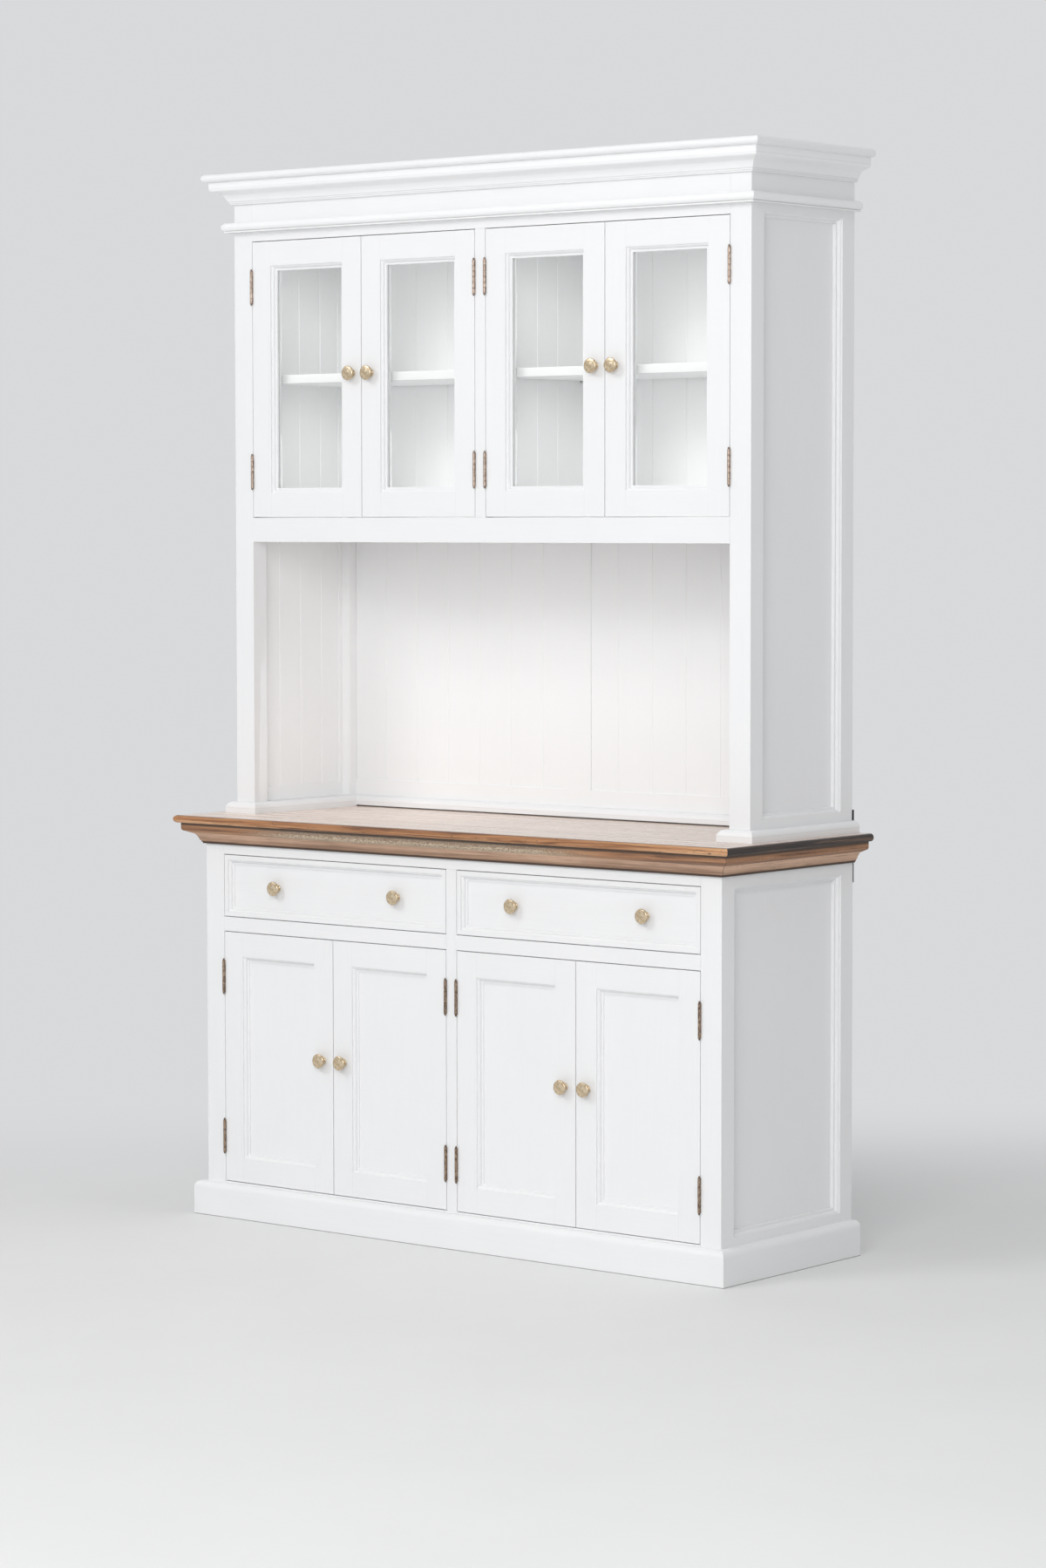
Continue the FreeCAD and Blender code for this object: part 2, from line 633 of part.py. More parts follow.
def hutch_back():
    """Frame of the back, and the tongued boards in its two bays."""
    half, muntin = hutch_opening_half, back_muntin_width / 2
    low, high = base_height + back_bottom_rail, top_board_bottom - back_top_rail
    y0, y1 = back_face, base_case_depth
    rails = [box(-half, half, y0, y1, base_height, low), box(-half, half, y0, y1, high, top_board_bottom),
             box(-muntin, muntin, y0, y1, low, high)]
    hidden = groove_depth - panel_float
    edges = [half]
    while edges[-1] - back_board_width > muntin + back_board_width / 2:
        edges.append(edges[-1] - back_board_width)
    boards = []
    for x1, x0 in zip(edges, edges[1:]):
        boards.append(tongued_board(x0, x1, low - hidden, high + hidden, 1))
    y2, y3 = back_board_face, back_board_face + back_board_thickness
    last = box(muntin - hidden, edges[-1], y2, y3, low - hidden, high + hidden)
    mid = (y2 + y3) / 2
    last = last.fuse(box(edges[-1], edges[-1] + tongue_length, mid - tongue_thickness / 2 + tongue_clearance,
                         mid + tongue_thickness / 2 - tongue_clearance, low - hidden, high + hidden))
    boards.append(last.cut(v_cut(edges[-1], y2, low - hidden, high + hidden, 1)).removeSplitter())
    boards = both_sides(boards)
    ploughed = box(muntin - groove_depth, half, y2, y3, low - groove_depth, high + groove_depth)
    post_groove = box(half, half + tongue_length + tongue_clearance, mid - tongue_thickness / 2,
                      mid + tongue_thickness / 2, low - groove_depth, high + groove_depth)
    rails = [rail.cut([ploughed, mirrored(ploughed)]) for rail in rails]
    return rails, boards, post_groove


def base_back():
    half, muntin = base_opening_half, back_muntin_width / 2
    low, high = cupboard_floor, counter_bottom - back_top_rail
    y0, y1 = back_face, base_case_depth
    frame = [box(-half, half, y0, y1, 0, low), box(-half, half, y0, y1, high, counter_bottom),
             box(-muntin, muntin, y0, y1, low, high)]
    y2, y3 = back_board_face, back_board_face + base_back_panel_thickness
    lap, hidden = groove_depth, groove_depth - panel_float
    groove = box(muntin - lap, half, y2, y3, low - lap, high + lap)
    panel = box(muntin - hidden, half, y2, y3, low - hidden, high + hidden)
    frame = [piece.cut([groove, mirrored(groove)]) for piece in frame]
    return frame, [panel, mirrored(panel)]


def shelf_and_pins(opening_half, front, z0):
    """The two shelves of a case and the four pins under each."""
    y0, y1 = front + face_thickness + shelf_setback, back_face - shelf_clearance
    x0, x1 = partition_half + shelf_clearance, opening_half - shelf_clearance
    shelf = eased_box(x0, x1, y0, y1, z0, z0 + board_thickness, Vector(1, 0, 0))
    pins = []
    for wall, way in ((partition_half, 1), (opening_half, -1)):
        depth_in = shelf_pin_in if way < 0 else partition_half - shelf_clearance
        for y in (y0 + shelf_pin_setback, y1 - shelf_pin_setback):
            start = Vector(wall - way * depth_in, y, z0 - shelf_pin_radius)
            pins.append(Part.makeCylinder(shelf_pin_radius, depth_in + shelf_pin_out, start,
                                          Vector(way, 0, 0)))
    return both_sides([shelf]), both_sides(pins)


def catches(front, z):
    """Magnetic catches behind the rail above each pair of doors; z is the rail's lower edge."""
    y0 = front + face_thickness
    y1 = y0 + catch_depth
    pieces = []
    for opening_middle in (-1, 1):
        x = opening_middle * (centre_half + base_opening_half) / 2
        x0, x1 = x - catch_width / 2, x + catch_width / 2
        magnet = box(x0, x1, y0 + catch_gap, y1, z - catch_height, z)
        pieces.append(magnet.fuse(box(x0, x1, y0, y1, z, z + catch_height)).removeSplitter())
    return pieces


def straps():
    """Steel straps that hold the hutch to the base at the back, and their screws."""
    x1, y0 = base_half, base_case_depth
    x0 = x1 - strap_width
    z0, z1 = base_height - strap_foot_length, base_height + strap_head_length
    strap = box(x0, x1, y0, y0 + strap_thickness, z0, z1)
    screws = []
    for z in (z0 + strap_screw_inset, z0 + strap_screw_inset + strap_screw_spacing,
              z1 - strap_screw_inset):
        screws.append(countersunk(Vector((x0 + x1) / 2, y0 + strap_thickness, z), Vector(0, -1, 0),
                                  strap_screw_radius, strap_screw_head, strap_thickness,
                                  strap_screw_length))
    return both_sides([strap.cut(screws)] + screws)


# ---------------------------------------------------------------- the whole
def doors_and_drawers():
    """Every moving node, and the fixed halves of the hinges."""
    nodes, fixed_hinges = {}, []
    for kind, opening_half, low, high, face_y, inset, rise in (
            ("panel", base_opening_half, cupboard_floor, cupboard_top, 0,
             base_knob_inset, base_knob_rise),
            ("glass", hutch_opening_half, cabinet_floor, cabinet_top, hutch_front,
             hutch_knob_inset, hutch_knob_rise)):
        for name, x0, x1, side in door_leaves(opening_half):
            made, hung = door(kind, name, x0, x1, low + door_gap, high - door_gap, face_y, side,
                              inset, rise)
            nodes.update(made)
            fixed_hinges += hung
    nodes.update(drawer("left", -1))
    nodes.update(drawer("right", 1))
    return nodes, fixed_hinges


def base(drilled):
    """The base's case; drilled are the pieces let into its posts and partition."""
    t, a, c = face_thickness, base_opening_half, centre_half
    along = Vector(1, 0, 0)
    posts, rails, panel = side_assembly(
        base_half, 0, 0, counter_bottom, plinth_height + base_side_bottom_height,
        counter_bottom - counter_moulding_bottom + base_side_top_height, [])
    posts, rails = both_sides(posts), both_sides(rails)
    back_frame, back_panels = base_back()
    centre_post = eased_box(-c, c, 0, t, cupboard_floor, drawer_opening_top, UP)
    mid_rail = eased_box(c, a, 0, t, cupboard_top, drawer_opening_bottom, along)
    front_rails = [eased_box(-a, a, 0, t, 0, cupboard_floor, along),
                   eased_box(-a, a, 0, t, drawer_opening_top, counter_bottom, along)]
    side = base_half - side_rail_thickness
    floor = box(-side, side, t, back_face, cupboard_floor - board_thickness, cupboard_floor)
    partition = box(-partition_half, partition_half, t, back_face, cupboard_floor, counter_bottom)
    return {
        "base_posts": [post.cut(drilled) for post in posts + [centre_post]],
        "base_rails": front_rails + both_sides([mid_rail]) + rails + back_frame,
        "base_side_panels": both_sides([panel]),
        "base_back_panels": back_panels,
        "base_inner_boards": [floor.cut(posts), partition.cut(drilled)],
        "drawer_runners": drawer_runners(),
        "plinth_boards": plinth(),
        "counter_board": [rounded_board(base_half, 0, counter_overhang, counter_bottom)],
        "counter_moulding": crown_moulding(base_half, 0, counter_overhang, counter_moulding_bottom,
                                           counter_moulding_height),
    }


def hutch(drilled):
    """The hutch's case; drilled are the pieces let into its posts and partition."""
    y0, y1 = hutch_front, hutch_front + face_thickness
    b, c = hutch_opening_half, centre_half
    along = Vector(1, 0, 0)
    depth = base_case_depth - hutch_front
    grooves = groove_places(post_depth, depth - post_depth)
    posts, rails, panel = side_assembly(
        hutch_half, hutch_front, base_height, top_board_bottom, hutch_side_bottom_height,
        top_board_bottom - frieze_bead_bottom + hutch_side_top_height, grooves)
    posts, rails = both_sides(posts), both_sides(rails)
    back_frame, back_boards, post_groove = hutch_back()
    centre_post = eased_box(-c, c, y0, y1, cabinet_floor, cabinet_top, UP)
    front_rails = [eased_box(-b, b, y0, y1, niche_top, cabinet_floor, along),
                   eased_box(-b, b, y0, y1, cabinet_top, top_board_bottom, along)]
    side = hutch_panel_inside
    floor = box(-side, side, y1, back_face, cabinet_floor - board_thickness, cabinet_floor)
    partition = box(-partition_half, partition_half, y1, back_face, cabinet_floor, top_board_bottom)
    for u in grooves:
        groove = v_cut(hutch_front + u, partition_half, cabinet_floor, top_board_bottom)
        groove.rotate(Vector(0, 0, 0), UP, 90)
        partition = partition.cut(both_sides([mirrored(groove)]))
    return {
        "hutch_posts": [post.cut(drilled + both_sides([post_groove])) for post in posts + [centre_post]],
        "hutch_rails": front_rails + rails + back_frame,
        "hutch_side_panels": both_sides([panel]),
        "hutch_back_boards": back_boards,
        "hutch_inner_boards": [floor.cut(posts), partition.cut(drilled)],
        "foot_moulding": foot_moulding(),
        "cornice_moulding": frieze_bead() + crown_moulding(
            hutch_half, hutch_front, cornice_overhang, cornice_bottom, cornice_moulding_height),
        "top_board": [rounded_board(hutch_half, hutch_front, cornice_overhang, top_board_bottom)],
    }


def build():
    nodes, fixed_hinges = doors_and_drawers()
    base_shelves, base_pins = shelf_and_pins(base_opening_half, 0, base_shelf_height)
    hutch_shelves, hutch_pins = shelf_and_pins(hutch_opening_half, hutch_front,
                                               niche_top + hutch_shelf_rise)
    pins = base_pins + hutch_pins
    drilled = pins + straps()
    for fixed, _ in fixed_hinges:
        drilled += fixed["mortise"]
    nodes.update(base(drilled))
    nodes.update(hutch(drilled))
    nodes["shelves"] = base_shelves + hutch_shelves
    nodes["shelf_pins_and_catches"] = (pins + catches(0, cupboard_top)
                                       + catches(hutch_front, cabinet_top))
    nodes["joining_straps"] = straps()
    nodes["hinge_leaves_on_posts"] = [piece for fixed, pin in fixed_hinges
                                      for piece in [fixed["leaf"], pin] + fixed["screws"]]
    return nodes


def save(nodes):
    os.makedirs("parts", exist_ok=True)
    for name, pieces in nodes.items():
        solids = [solid for piece in pieces for solid in piece.Solids]
        group = Part.makeCompound(solids)
        group.translate(Vector(0, -centre_y, 0))
        group.exportStep(f"parts/{name}.step")
        print(f"{name}: {len(solids)} solids, {len(pieces)} pieces, valid {group.isValid()}")


save(build())
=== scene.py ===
# %% [markdown]
# # A dresser with a hutch
# The real piece is a cupboard of painted boards: a base of four panelled doors and two drawers, a
# counter of stained wood, and a hutch of an open niche and four glazed doors under a cornice.
# The frame that is loaded here already holds every board, hinge and pane at its true size and
# place. This notebook gives each of them its finish, turns the knobs, and sets up the studio.

# %% Load the frame
import json
from math import cos, pi, radians, sin

import bmesh
import bpy
from mathutils import Matrix, Vector

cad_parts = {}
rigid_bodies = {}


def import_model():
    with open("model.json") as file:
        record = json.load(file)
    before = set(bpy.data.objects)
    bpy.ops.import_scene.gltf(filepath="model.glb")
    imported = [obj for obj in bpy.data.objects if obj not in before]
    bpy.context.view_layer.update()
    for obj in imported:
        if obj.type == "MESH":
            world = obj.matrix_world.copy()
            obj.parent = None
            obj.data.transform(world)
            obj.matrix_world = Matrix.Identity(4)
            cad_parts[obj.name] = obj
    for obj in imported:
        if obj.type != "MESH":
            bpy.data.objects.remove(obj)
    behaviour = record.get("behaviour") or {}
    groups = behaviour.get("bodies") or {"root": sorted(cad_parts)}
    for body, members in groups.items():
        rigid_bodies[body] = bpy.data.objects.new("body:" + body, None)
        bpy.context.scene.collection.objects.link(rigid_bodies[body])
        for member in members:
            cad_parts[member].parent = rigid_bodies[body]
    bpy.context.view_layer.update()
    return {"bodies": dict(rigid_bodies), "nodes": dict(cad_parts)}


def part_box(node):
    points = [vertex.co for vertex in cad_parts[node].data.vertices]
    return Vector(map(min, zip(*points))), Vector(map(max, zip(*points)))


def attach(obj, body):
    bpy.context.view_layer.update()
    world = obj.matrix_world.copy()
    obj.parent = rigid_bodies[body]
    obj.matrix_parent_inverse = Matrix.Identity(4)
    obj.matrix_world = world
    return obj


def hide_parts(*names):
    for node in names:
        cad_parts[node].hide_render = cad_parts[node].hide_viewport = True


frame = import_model()
nodes = frame["nodes"]


# %% [markdown]
# ## The camera
# A tall cupboard is best seen from its right front corner, well above the counter, through a long
# lens that keeps its upright lines nearly upright. The camera's axes are worked out from three
# turns: round the upright, down towards the floor, and a slight lean.

# %% Camera
LENS_MM, SENSOR_MM, SIGHT = 95.27, 36.0, 200.0
camera_place = Vector((5.3720, -6.57615, 1.4724))
turn, tilt, lean = radians(39.103), radians(3.641), radians(-0.058)


def camera_axes():
    back = Vector((sin(turn) * cos(tilt), -cos(turn) * cos(tilt), sin(tilt)))
    level = (-back).cross(Vector((0, 0, 1))).normalized()
    upright = level.cross(-back)
    right = level * cos(lean) + upright * sin(lean)
    up = upright * cos(lean) - level * sin(lean)
    return right, up, back


camera_data = bpy.data.cameras.new("studio_camera")
camera_data.lens = LENS_MM
camera_data.sensor_width = SENSOR_MM
camera_data.clip_end = SIGHT
camera = bpy.data.objects.new("studio_camera", camera_data)
camera.matrix_world = Matrix.Translation(camera_place) @ Matrix(camera_axes()).transposed().to_4x4()
bpy.context.scene.collection.objects.link(camera)
bpy.context.scene.camera = camera
print("camera at", [round(v, 3) for v in camera_place])


# %% [markdown]
# ## A short way to write shader maths
# A finish is a net of nodes. Wiring each Math node by hand hides what it means, so one small
# class stands for an output socket, and adding or multiplying two of them makes the node.
# `Finish` holds a material's tree, and its `node` method makes any other node. Its other methods
# give names to the few nets that come back in every finish: a noise, a blend, a ramp, a bump.

# %% Sockets that add and multiply
class Wire:
    """An output socket of a finish, usable in sums."""

    def __init__(self, finish, socket):
        self.finish = finish
        self.socket = socket

    def maths(self, operation, *others):
        return self.finish.node("ShaderNodeMath", {"operation": operation}, (self, *others))

    def __add__(self, other):
        return self.maths("ADD", other)

    def __mul__(self, other):
        return self.maths("MULTIPLY", other)

    def __sub__(self, other):
        return self.maths("SUBTRACT", other)

    def __rsub__(self, other):
        return self.finish.node("ShaderNodeMath", {"operation": "SUBTRACT"}, (other, self))

    def __truediv__(self, other):
        return self.maths("DIVIDE", other)

    def __gt__(self, other):
        return self.maths("GREATER_THAN", other)

    def __lt__(self, other):
        return self.maths("LESS_THAN", other)

    def __neg__(self):
        return self * -1.0

    def __abs__(self):
        return self.maths("ABSOLUTE")

    __radd__ = __add__
    __rmul__ = __mul__

    def least(self, other):
        return self.maths("MINIMUM", other)

    def most(self, other):
        return self.maths("MAXIMUM", other)

    def fract(self):
        return self.maths("FRACT")

    def clear(self, start, end):
        """0 below start, 1 above end, a soft step between; reversed where end is the lower."""
        settings = {"interpolation_type": "SMOOTHSTEP"}
        values = {"Value": self, "From Min": start, "From Max": end, "To Min": 0.0, "To Max": 1.0}
        return self.finish.node("ShaderNodeMapRange", settings, values)

    def line(self, middle, half_width):
        """1 on a thin line where the value is middle, fading to 0 at its sides."""
        return abs(self - middle).clear(half_width, half_width * 0.35)


# %% The tree of one material
class Finish:
    """A material, built up node by node."""

    def __init__(self, name):
        self.material = bpy.data.materials.new(name)
        self.material.use_nodes = True
        self.tree = self.material.node_tree
        self.tree.nodes.clear()

    def node(self, kind, settings=None, values=(), out=0):
        made = self.tree.nodes.new(kind)
        for name, value in (settings or {}).items():
            if name == "stops":
                self.set_stops(made.color_ramp, value)
            else:
                setattr(made, name, value)
        items = values.items() if isinstance(values, dict) else enumerate(values)
        for key, value in items:
            if isinstance(value, Wire):
                self.tree.links.new(value.socket, made.inputs[key])
            else:
                made.inputs[key].default_value = value
        return Wire(self, made.outputs[out])

    def set_stops(self, ramp, stops):
        while len(ramp.elements) < len(stops):
            ramp.elements.new(1.0)
        for element, (place, colour) in zip(ramp.elements, stops):
            element.position = place
            element.color = (*colour, 1.0)

    def place(self):
        """x, y and z of the point in the frame's metres."""
        return self.parts(self.node("ShaderNodeTexCoord", out="Object"))

    def parts(self, vector):
        split = self.node("ShaderNodeSeparateXYZ", values=(vector,))
        return [Wire(self, o) for o in split.socket.node.outputs]

    def facing(self):
        return self.parts(self.node("ShaderNodeNewGeometry", out="Normal"))

    def vector(self, x, y, z):
        return self.node("ShaderNodeCombineXYZ", values=(x, y, z))

    def noise(self, vector, detail=3.0, roughness=0.5, distortion=0.0):
        values = {"Vector": vector, "Scale": 1.0, "Detail": detail, "Roughness": roughness,
                  "Distortion": distortion}
        return self.node("ShaderNodeTexNoise", values=values)

    def spots(self, vector):
        """The distance to the nearest of many scattered points, such as knots."""
        values = {"Vector": vector, "Scale": 1.0}
        return self.node("ShaderNodeTexVoronoi", {"feature": "F1"}, values, out="Distance")

    def blend(self, share, first, second):
        """A colour between two; each may be a wire or three numbers."""
        values = {0: share}
        for key, colour in ((6, first), (7, second)):
            values[key] = colour if isinstance(colour, Wire) else (*colour, 1.0)
        return self.node("ShaderNodeMix", {"data_type": "RGBA"}, values, out=2)

    def between(self, share, first, second):
        """A vector between two."""
        return self.node("ShaderNodeMix", {"data_type": "VECTOR"},
                         {0: share, 4: first, 5: second}, out=1)

    def ramp(self, value, *stops):
        return self.node("ShaderNodeValToRGB", {"stops": stops}, (value,))

    def bump(self, height, distance):
        return self.node("ShaderNodeBump", values={"Height": height, "Distance": distance})

    def principled(self, **values):
        plain = {key.replace("_", " "): value for key, value in values.items()}
        return self.node("ShaderNodeBsdfPrincipled", values=plain)

    def done(self, surface):
        output = self.tree.nodes.new("ShaderNodeOutputMaterial")
        self.tree.links.new(surface.socket, output.inputs["Surface"])
        return self.material


def dress(material, *names):
    """Gives the material to whole nodes of the frame."""
    for name in names:
        for slot in nodes[name].material_slots:
            slot.material = material
    print(material.name, "on", ", ".join(names))


# %% [markdown]
# ## Painted boards
# The boards are sprayed and then brushed with a satin white paint. It looks even from afar, but a
# raking light finds fine brush strokes that run with the grain, a slight unevenness in the
# sheen, and hairlines where one board meets another. Where the plinth stands on the floor a thin
# dark line is painted in as a contact shadow. The strokes are noise stretched along the board: a
# share called `upright` says which boards stand and which lie.

# %% Satin white paint
PAINT, PAINT_SHADE = (0.895, 0.899, 0.905), (0.872, 0.877, 0.884)
INNER_PAINT, INNER_SHADE = (0.926, 0.931, 0.934), (0.909, 0.915, 0.919)
# The grey below marks hairlines at joints, and also painted shade lines on moulding steps and along
# the muntin's edges.
JOINT_LINE_AND_SHADE, JOINT_LINE_AND_SHADE_SHARE = (0.60, 0.60, 0.60), 0.30
# A painted contact shadow: a thin dark band where the boards stand on the floor.
FLOOR_CONTACT_SHADOW, CONTACT_SHADOW_SHARE, CONTACT_SHADOW_TOP = (0.10, 0.095, 0.09), 0.75, 0.0018
SHELTER_FRONT, SHELTER_HALF = -0.052, 0.653
FINE, LONG = 420.0, 9.0     # brush strokes to the metre, across and along them
PEEL = 700.0
STROKE_DEPTH = 0.000025


def nothing(x, y, z):
    return x * 0.0


def everywhere(x, y, z):
    return x * 0.0 + 1.0


def inside_hutch(x, y, z):
    """Inside the hutch, behind its front frame and between its side panels."""
    return (y > SHELTER_FRONT) * (abs(x) < SHELTER_HALF)


def paint(name, upright, joint_lines_and_shade, sideways=None, inside=nothing):
    """White paint. The other values are functions of x, y, z: boards that stand, lines where
    boards meet together with lines of painted shade, boards that run from front to back, and the
    whiter paint inside."""
    f = Finish(name)
    x, y, z = f.place()
    standing = f.vector(x * FINE, y * FINE, z * LONG)
    lying = f.vector(x * LONG, y * FINE, z * FINE)
    if sideways is not None:
        lying = f.between(sideways(x, y, z), lying, f.vector(x * FINE, y * LONG, z * FINE))
    strokes = f.noise(f.between(upright(x, y, z), lying, standing), detail=4.0, roughness=0.62)
    cloud = f.noise(f.vector(x * 5.0, y * 5.0, z * 3.0), detail=2.0)
    peel = f.noise(f.vector(x * PEEL, y * PEEL, z * PEEL), detail=1.0)
    shade = (strokes * 0.55 + cloud * 0.45).clear(0.30, 0.72)
    colour = f.blend(shade, PAINT_SHADE, PAINT)
    if inside is not nothing:
        colour = f.blend(inside(x, y, z), colour, f.blend(shade, INNER_SHADE, INNER_PAINT))
    joint_and_shade = joint_lines_and_shade(x, y, z)
    # Hairlines at joints, together with the painted shade lines on moulding steps and muntin edges
    # that some nodes ask for.
    colour = f.blend(joint_and_shade * JOINT_LINE_AND_SHADE_SHARE, colour, JOINT_LINE_AND_SHADE)
    # Painted contact shadow along the floor line.
    colour = f.blend(z.clear(CONTACT_SHADOW_TOP, CONTACT_SHADOW_TOP * 0.5) * CONTACT_SHADOW_SHARE, colour, FLOOR_CONTACT_SHADOW)
    height = strokes + peel * 0.25 - joint_and_shade
    surface = f.principled(Base_Color=colour, Roughness=strokes * 0.16 + cloud * 0.10 + 0.30,
                           Normal=f.bump(height, STROKE_DEPTH))
    return f.done(surface)


print("paint", PAINT, "inside", INNER_PAINT)

# %% [markdown]
# A door is two standing stiles with two rails between them. The line where a rail butts against
# a stile can just be seen under the paint, so each door's own box says where the strokes turn.

# %% Door frames
STILE = 0.051
SEAM_HALF, SEAM_FADE = 0.0004, 0.0005


def door_paint(name):
    low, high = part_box(name)
    middle, half = (low.x + high.x) / 2, (high.x - low.x) / 2
    centre, rise = (low.z + high.z) / 2, (high.z - low.z) / 2

    def upright(x, y, z):
        return abs(x - middle) > half - STILE

    def joints(x, y, z):
        beyond = abs(z - centre).clear(rise - STILE, rise - STILE + SEAM_FADE)
        return abs(x - middle).line(half - STILE, SEAM_HALF) * beyond

    dress(paint("paint_" + name, upright, joints), name)


door_bodies = [b for b in frame["bodies"] if "door" in b]
for body in door_bodies:
    door_paint(body + "_frame")

# %% [markdown]
# Posts and panels stand, so their strokes run up and down. The long rails lie, and a hairline
# marks where each meets its corner post. The side rails come in the same node as the long ones
# and run from front to back, so near the two ends the strokes turn that way.

# %% Panels, posts and rails
BASE_HALF, HUTCH_HALF, POST, SIDE_RAIL = 0.677, 0.675, 0.050, 0.031
for side in ("left", "right"):
    dress(paint(f"paint_{side}_drawer", nothing, nothing), f"{side}_drawer_front")
paint_upright = paint("paint_upright_boards", everywhere, nothing)
dress(paint_upright, "base_posts", "base_side_panels", "base_back_panels",
      *[b + "_centre" for b in door_bodies if b.startswith("panel")])
dress(paint("paint_hutch_posts", everywhere, nothing, inside=inside_hutch), "hutch_posts")


def rail_paint(name, half, inside=nothing):
    def ends(x, y, z):
        return abs(x).line(half - POST, SEAM_FADE)

    def sideways(x, y, z):
        return abs(x) > half - SIDE_RAIL

    return paint(name, nothing, ends, sideways, inside)


dress(rail_paint("paint_base_rails", BASE_HALF), "base_rails")
dress(rail_paint("paint_hutch_rails", HUTCH_HALF, inside_hutch), "hutch_rails")

# %% [markdown]
# Tongued boards close the back of the hutch. The paint is thin in the V where two of them meet,
# so a faint grey hairline runs down each joint. Along both edges of the muntin between the two
# halves, where it meets the boards with a small step, a grey line is painted shade.
# Inside the hutch, behind its front frame, the paint is a little whiter.

# %% Tongued boards and shelves
MUNTIN_EDGE, FIRST_JOINT, BACK_BOARD, BACK_JOINTS = 0.0286, 0.100, 0.0875, 6
MUNTIN_SHADE_LINE, BOARD_LINE, JOINT_SHARE = 0.0010, 0.0014, 0.25


def board_joints_and_muntin_shade(x, y, z):
    # Painted shade along both edges of the muntin, where it steps from the boards; the board joints
    # are grey joints.
    lines = abs(x).line(MUNTIN_EDGE, MUNTIN_SHADE_LINE)
    for number in range(BACK_JOINTS):
        lines = lines.most(abs(x).line(FIRST_JOINT + number * BACK_BOARD, BOARD_LINE))
    return lines * JOINT_SHARE


dress(paint("paint_side_boards", everywhere, nothing, inside=inside_hutch), "hutch_side_panels")
dress(paint("paint_back_boards", everywhere, board_joints_and_muntin_shade, inside=everywhere),
      "hutch_back_boards")
dress(paint("paint_inner_boards", nothing, nothing, inside=everywhere), "base_inner_boards",
      "hutch_inner_boards", "shelves")
dress(paint("paint_top_board", nothing, nothing), "top_board")


# %% [markdown]
# The plinth, the cornice and the foot of the hutch are lengths of moulding, mitred at the corners.
# Their strokes follow each length round the corner. Paint bridges the mitre but never quite hides
# it, so each mitre gets a hairline. On the cornice and the foot, a grey line at each sharp step
# of the moulding is painted shade in the crease.

# %% Mouldings and plinth
MITRE_HALF, MITRE_START, MITRE_SHARE, STEP_SHADE_HALF = 0.0006, 0.0005, 0.6, 0.0010


def moulding_paint(name, half, front, steps=(), inside=nothing):
    """Strokes follow the three lengths. Hairlines mark each mitre, and lines of painted shade mark
    the heights in steps.
    """
    def beyond(x, y):
        return abs(x) - half, front - y

    def sideways(x, y, z):
        side, ahead = beyond(x, y)
        return side > ahead

    def mitres_and_step_shade(x, y, z):
        side, ahead = beyond(x, y)
        lines = (side - ahead).line(0.0, MITRE_HALF) * (side > MITRE_START) * MITRE_SHARE
        # Painted shade: a grey line in the crease at each step height.
        for height in steps:
            lines = lines.most(z.line(height, STEP_SHADE_HALF))
        return lines

    return paint(name, nothing, mitres_and_step_shade, sideways, inside)


BASE_FRONT, HUTCH_FRONT = -0.19675, -0.10275
# Heights of the moulding steps that get a line of painted shade.
CORNICE_STEP_SHADE = (2.0785, 2.0815, 2.0995, 2.1370, 2.1400, 2.1435, 2.1705, 2.1840)
FOOT_STEP_SHADE = (0.8500, 0.8610, 0.8740)
dress(moulding_paint("paint_plinth", BASE_HALF, BASE_FRONT), "plinth_boards")
# The cornice takes the whiter paint all over, a painted brightening that stands in for light thrown
# up from the floor.
dress(moulding_paint("paint_cornice_painted_light", HUTCH_HALF, HUTCH_FRONT, CORNICE_STEP_SHADE, everywhere),
      "cornice_moulding")
dress(moulding_paint("paint_foot", HUTCH_HALF, HUTCH_FRONT, FOOT_STEP_SHADE), "foot_moulding")

# %% [markdown]
# ## The counter
# The counter is stained hardwood. Its top is waxed, and the wax's gleam at a low angle is painted
# into the colour as a pale pinkish tan, paler still towards the left: a painted sheen. The rounded
# front edge kept its orange brown stain, with dark growth lines and a few curved cracks. Its lower
# half was rubbed lighter, and a dark line of wax runs along the arris. Along the bottom of the
# board, where it meets the moulding, a dark line is painted shade. At the two ends the board shows
# end grain, which drank the stain and is nearly black. All the streaks are noise stretched along
# the board, because that is how the fibres run.

# %% Wood grain
def grain_lines(f, run, out, rise, length):
    """Broad growth bands, dark streaks, fine fibres and a few curved cracks."""
    bands = f.noise(f.vector(run / length, out * 70.0, rise * 110.0), 5.0, 0.62, 0.6)
    streaks = f.noise(f.vector(run * 11.0, out * 260.0, rise * 330.0), 4.0, 0.68, 0.35)
    fibres = f.noise(f.vector(run * 6.0 / length, out * 800.0, rise * 800.0), 3.0, 0.70)
    drift = f.noise(f.vector(run * 7.0, out * 20.0, rise * 45.0), 1.0, 0.5, 0.6)
    cracks = drift.line(0.60, 0.0060) * bands.clear(0.40, 0.50) * streaks.clear(0.43, 0.53)
    return bands, streaks, fibres, cracks


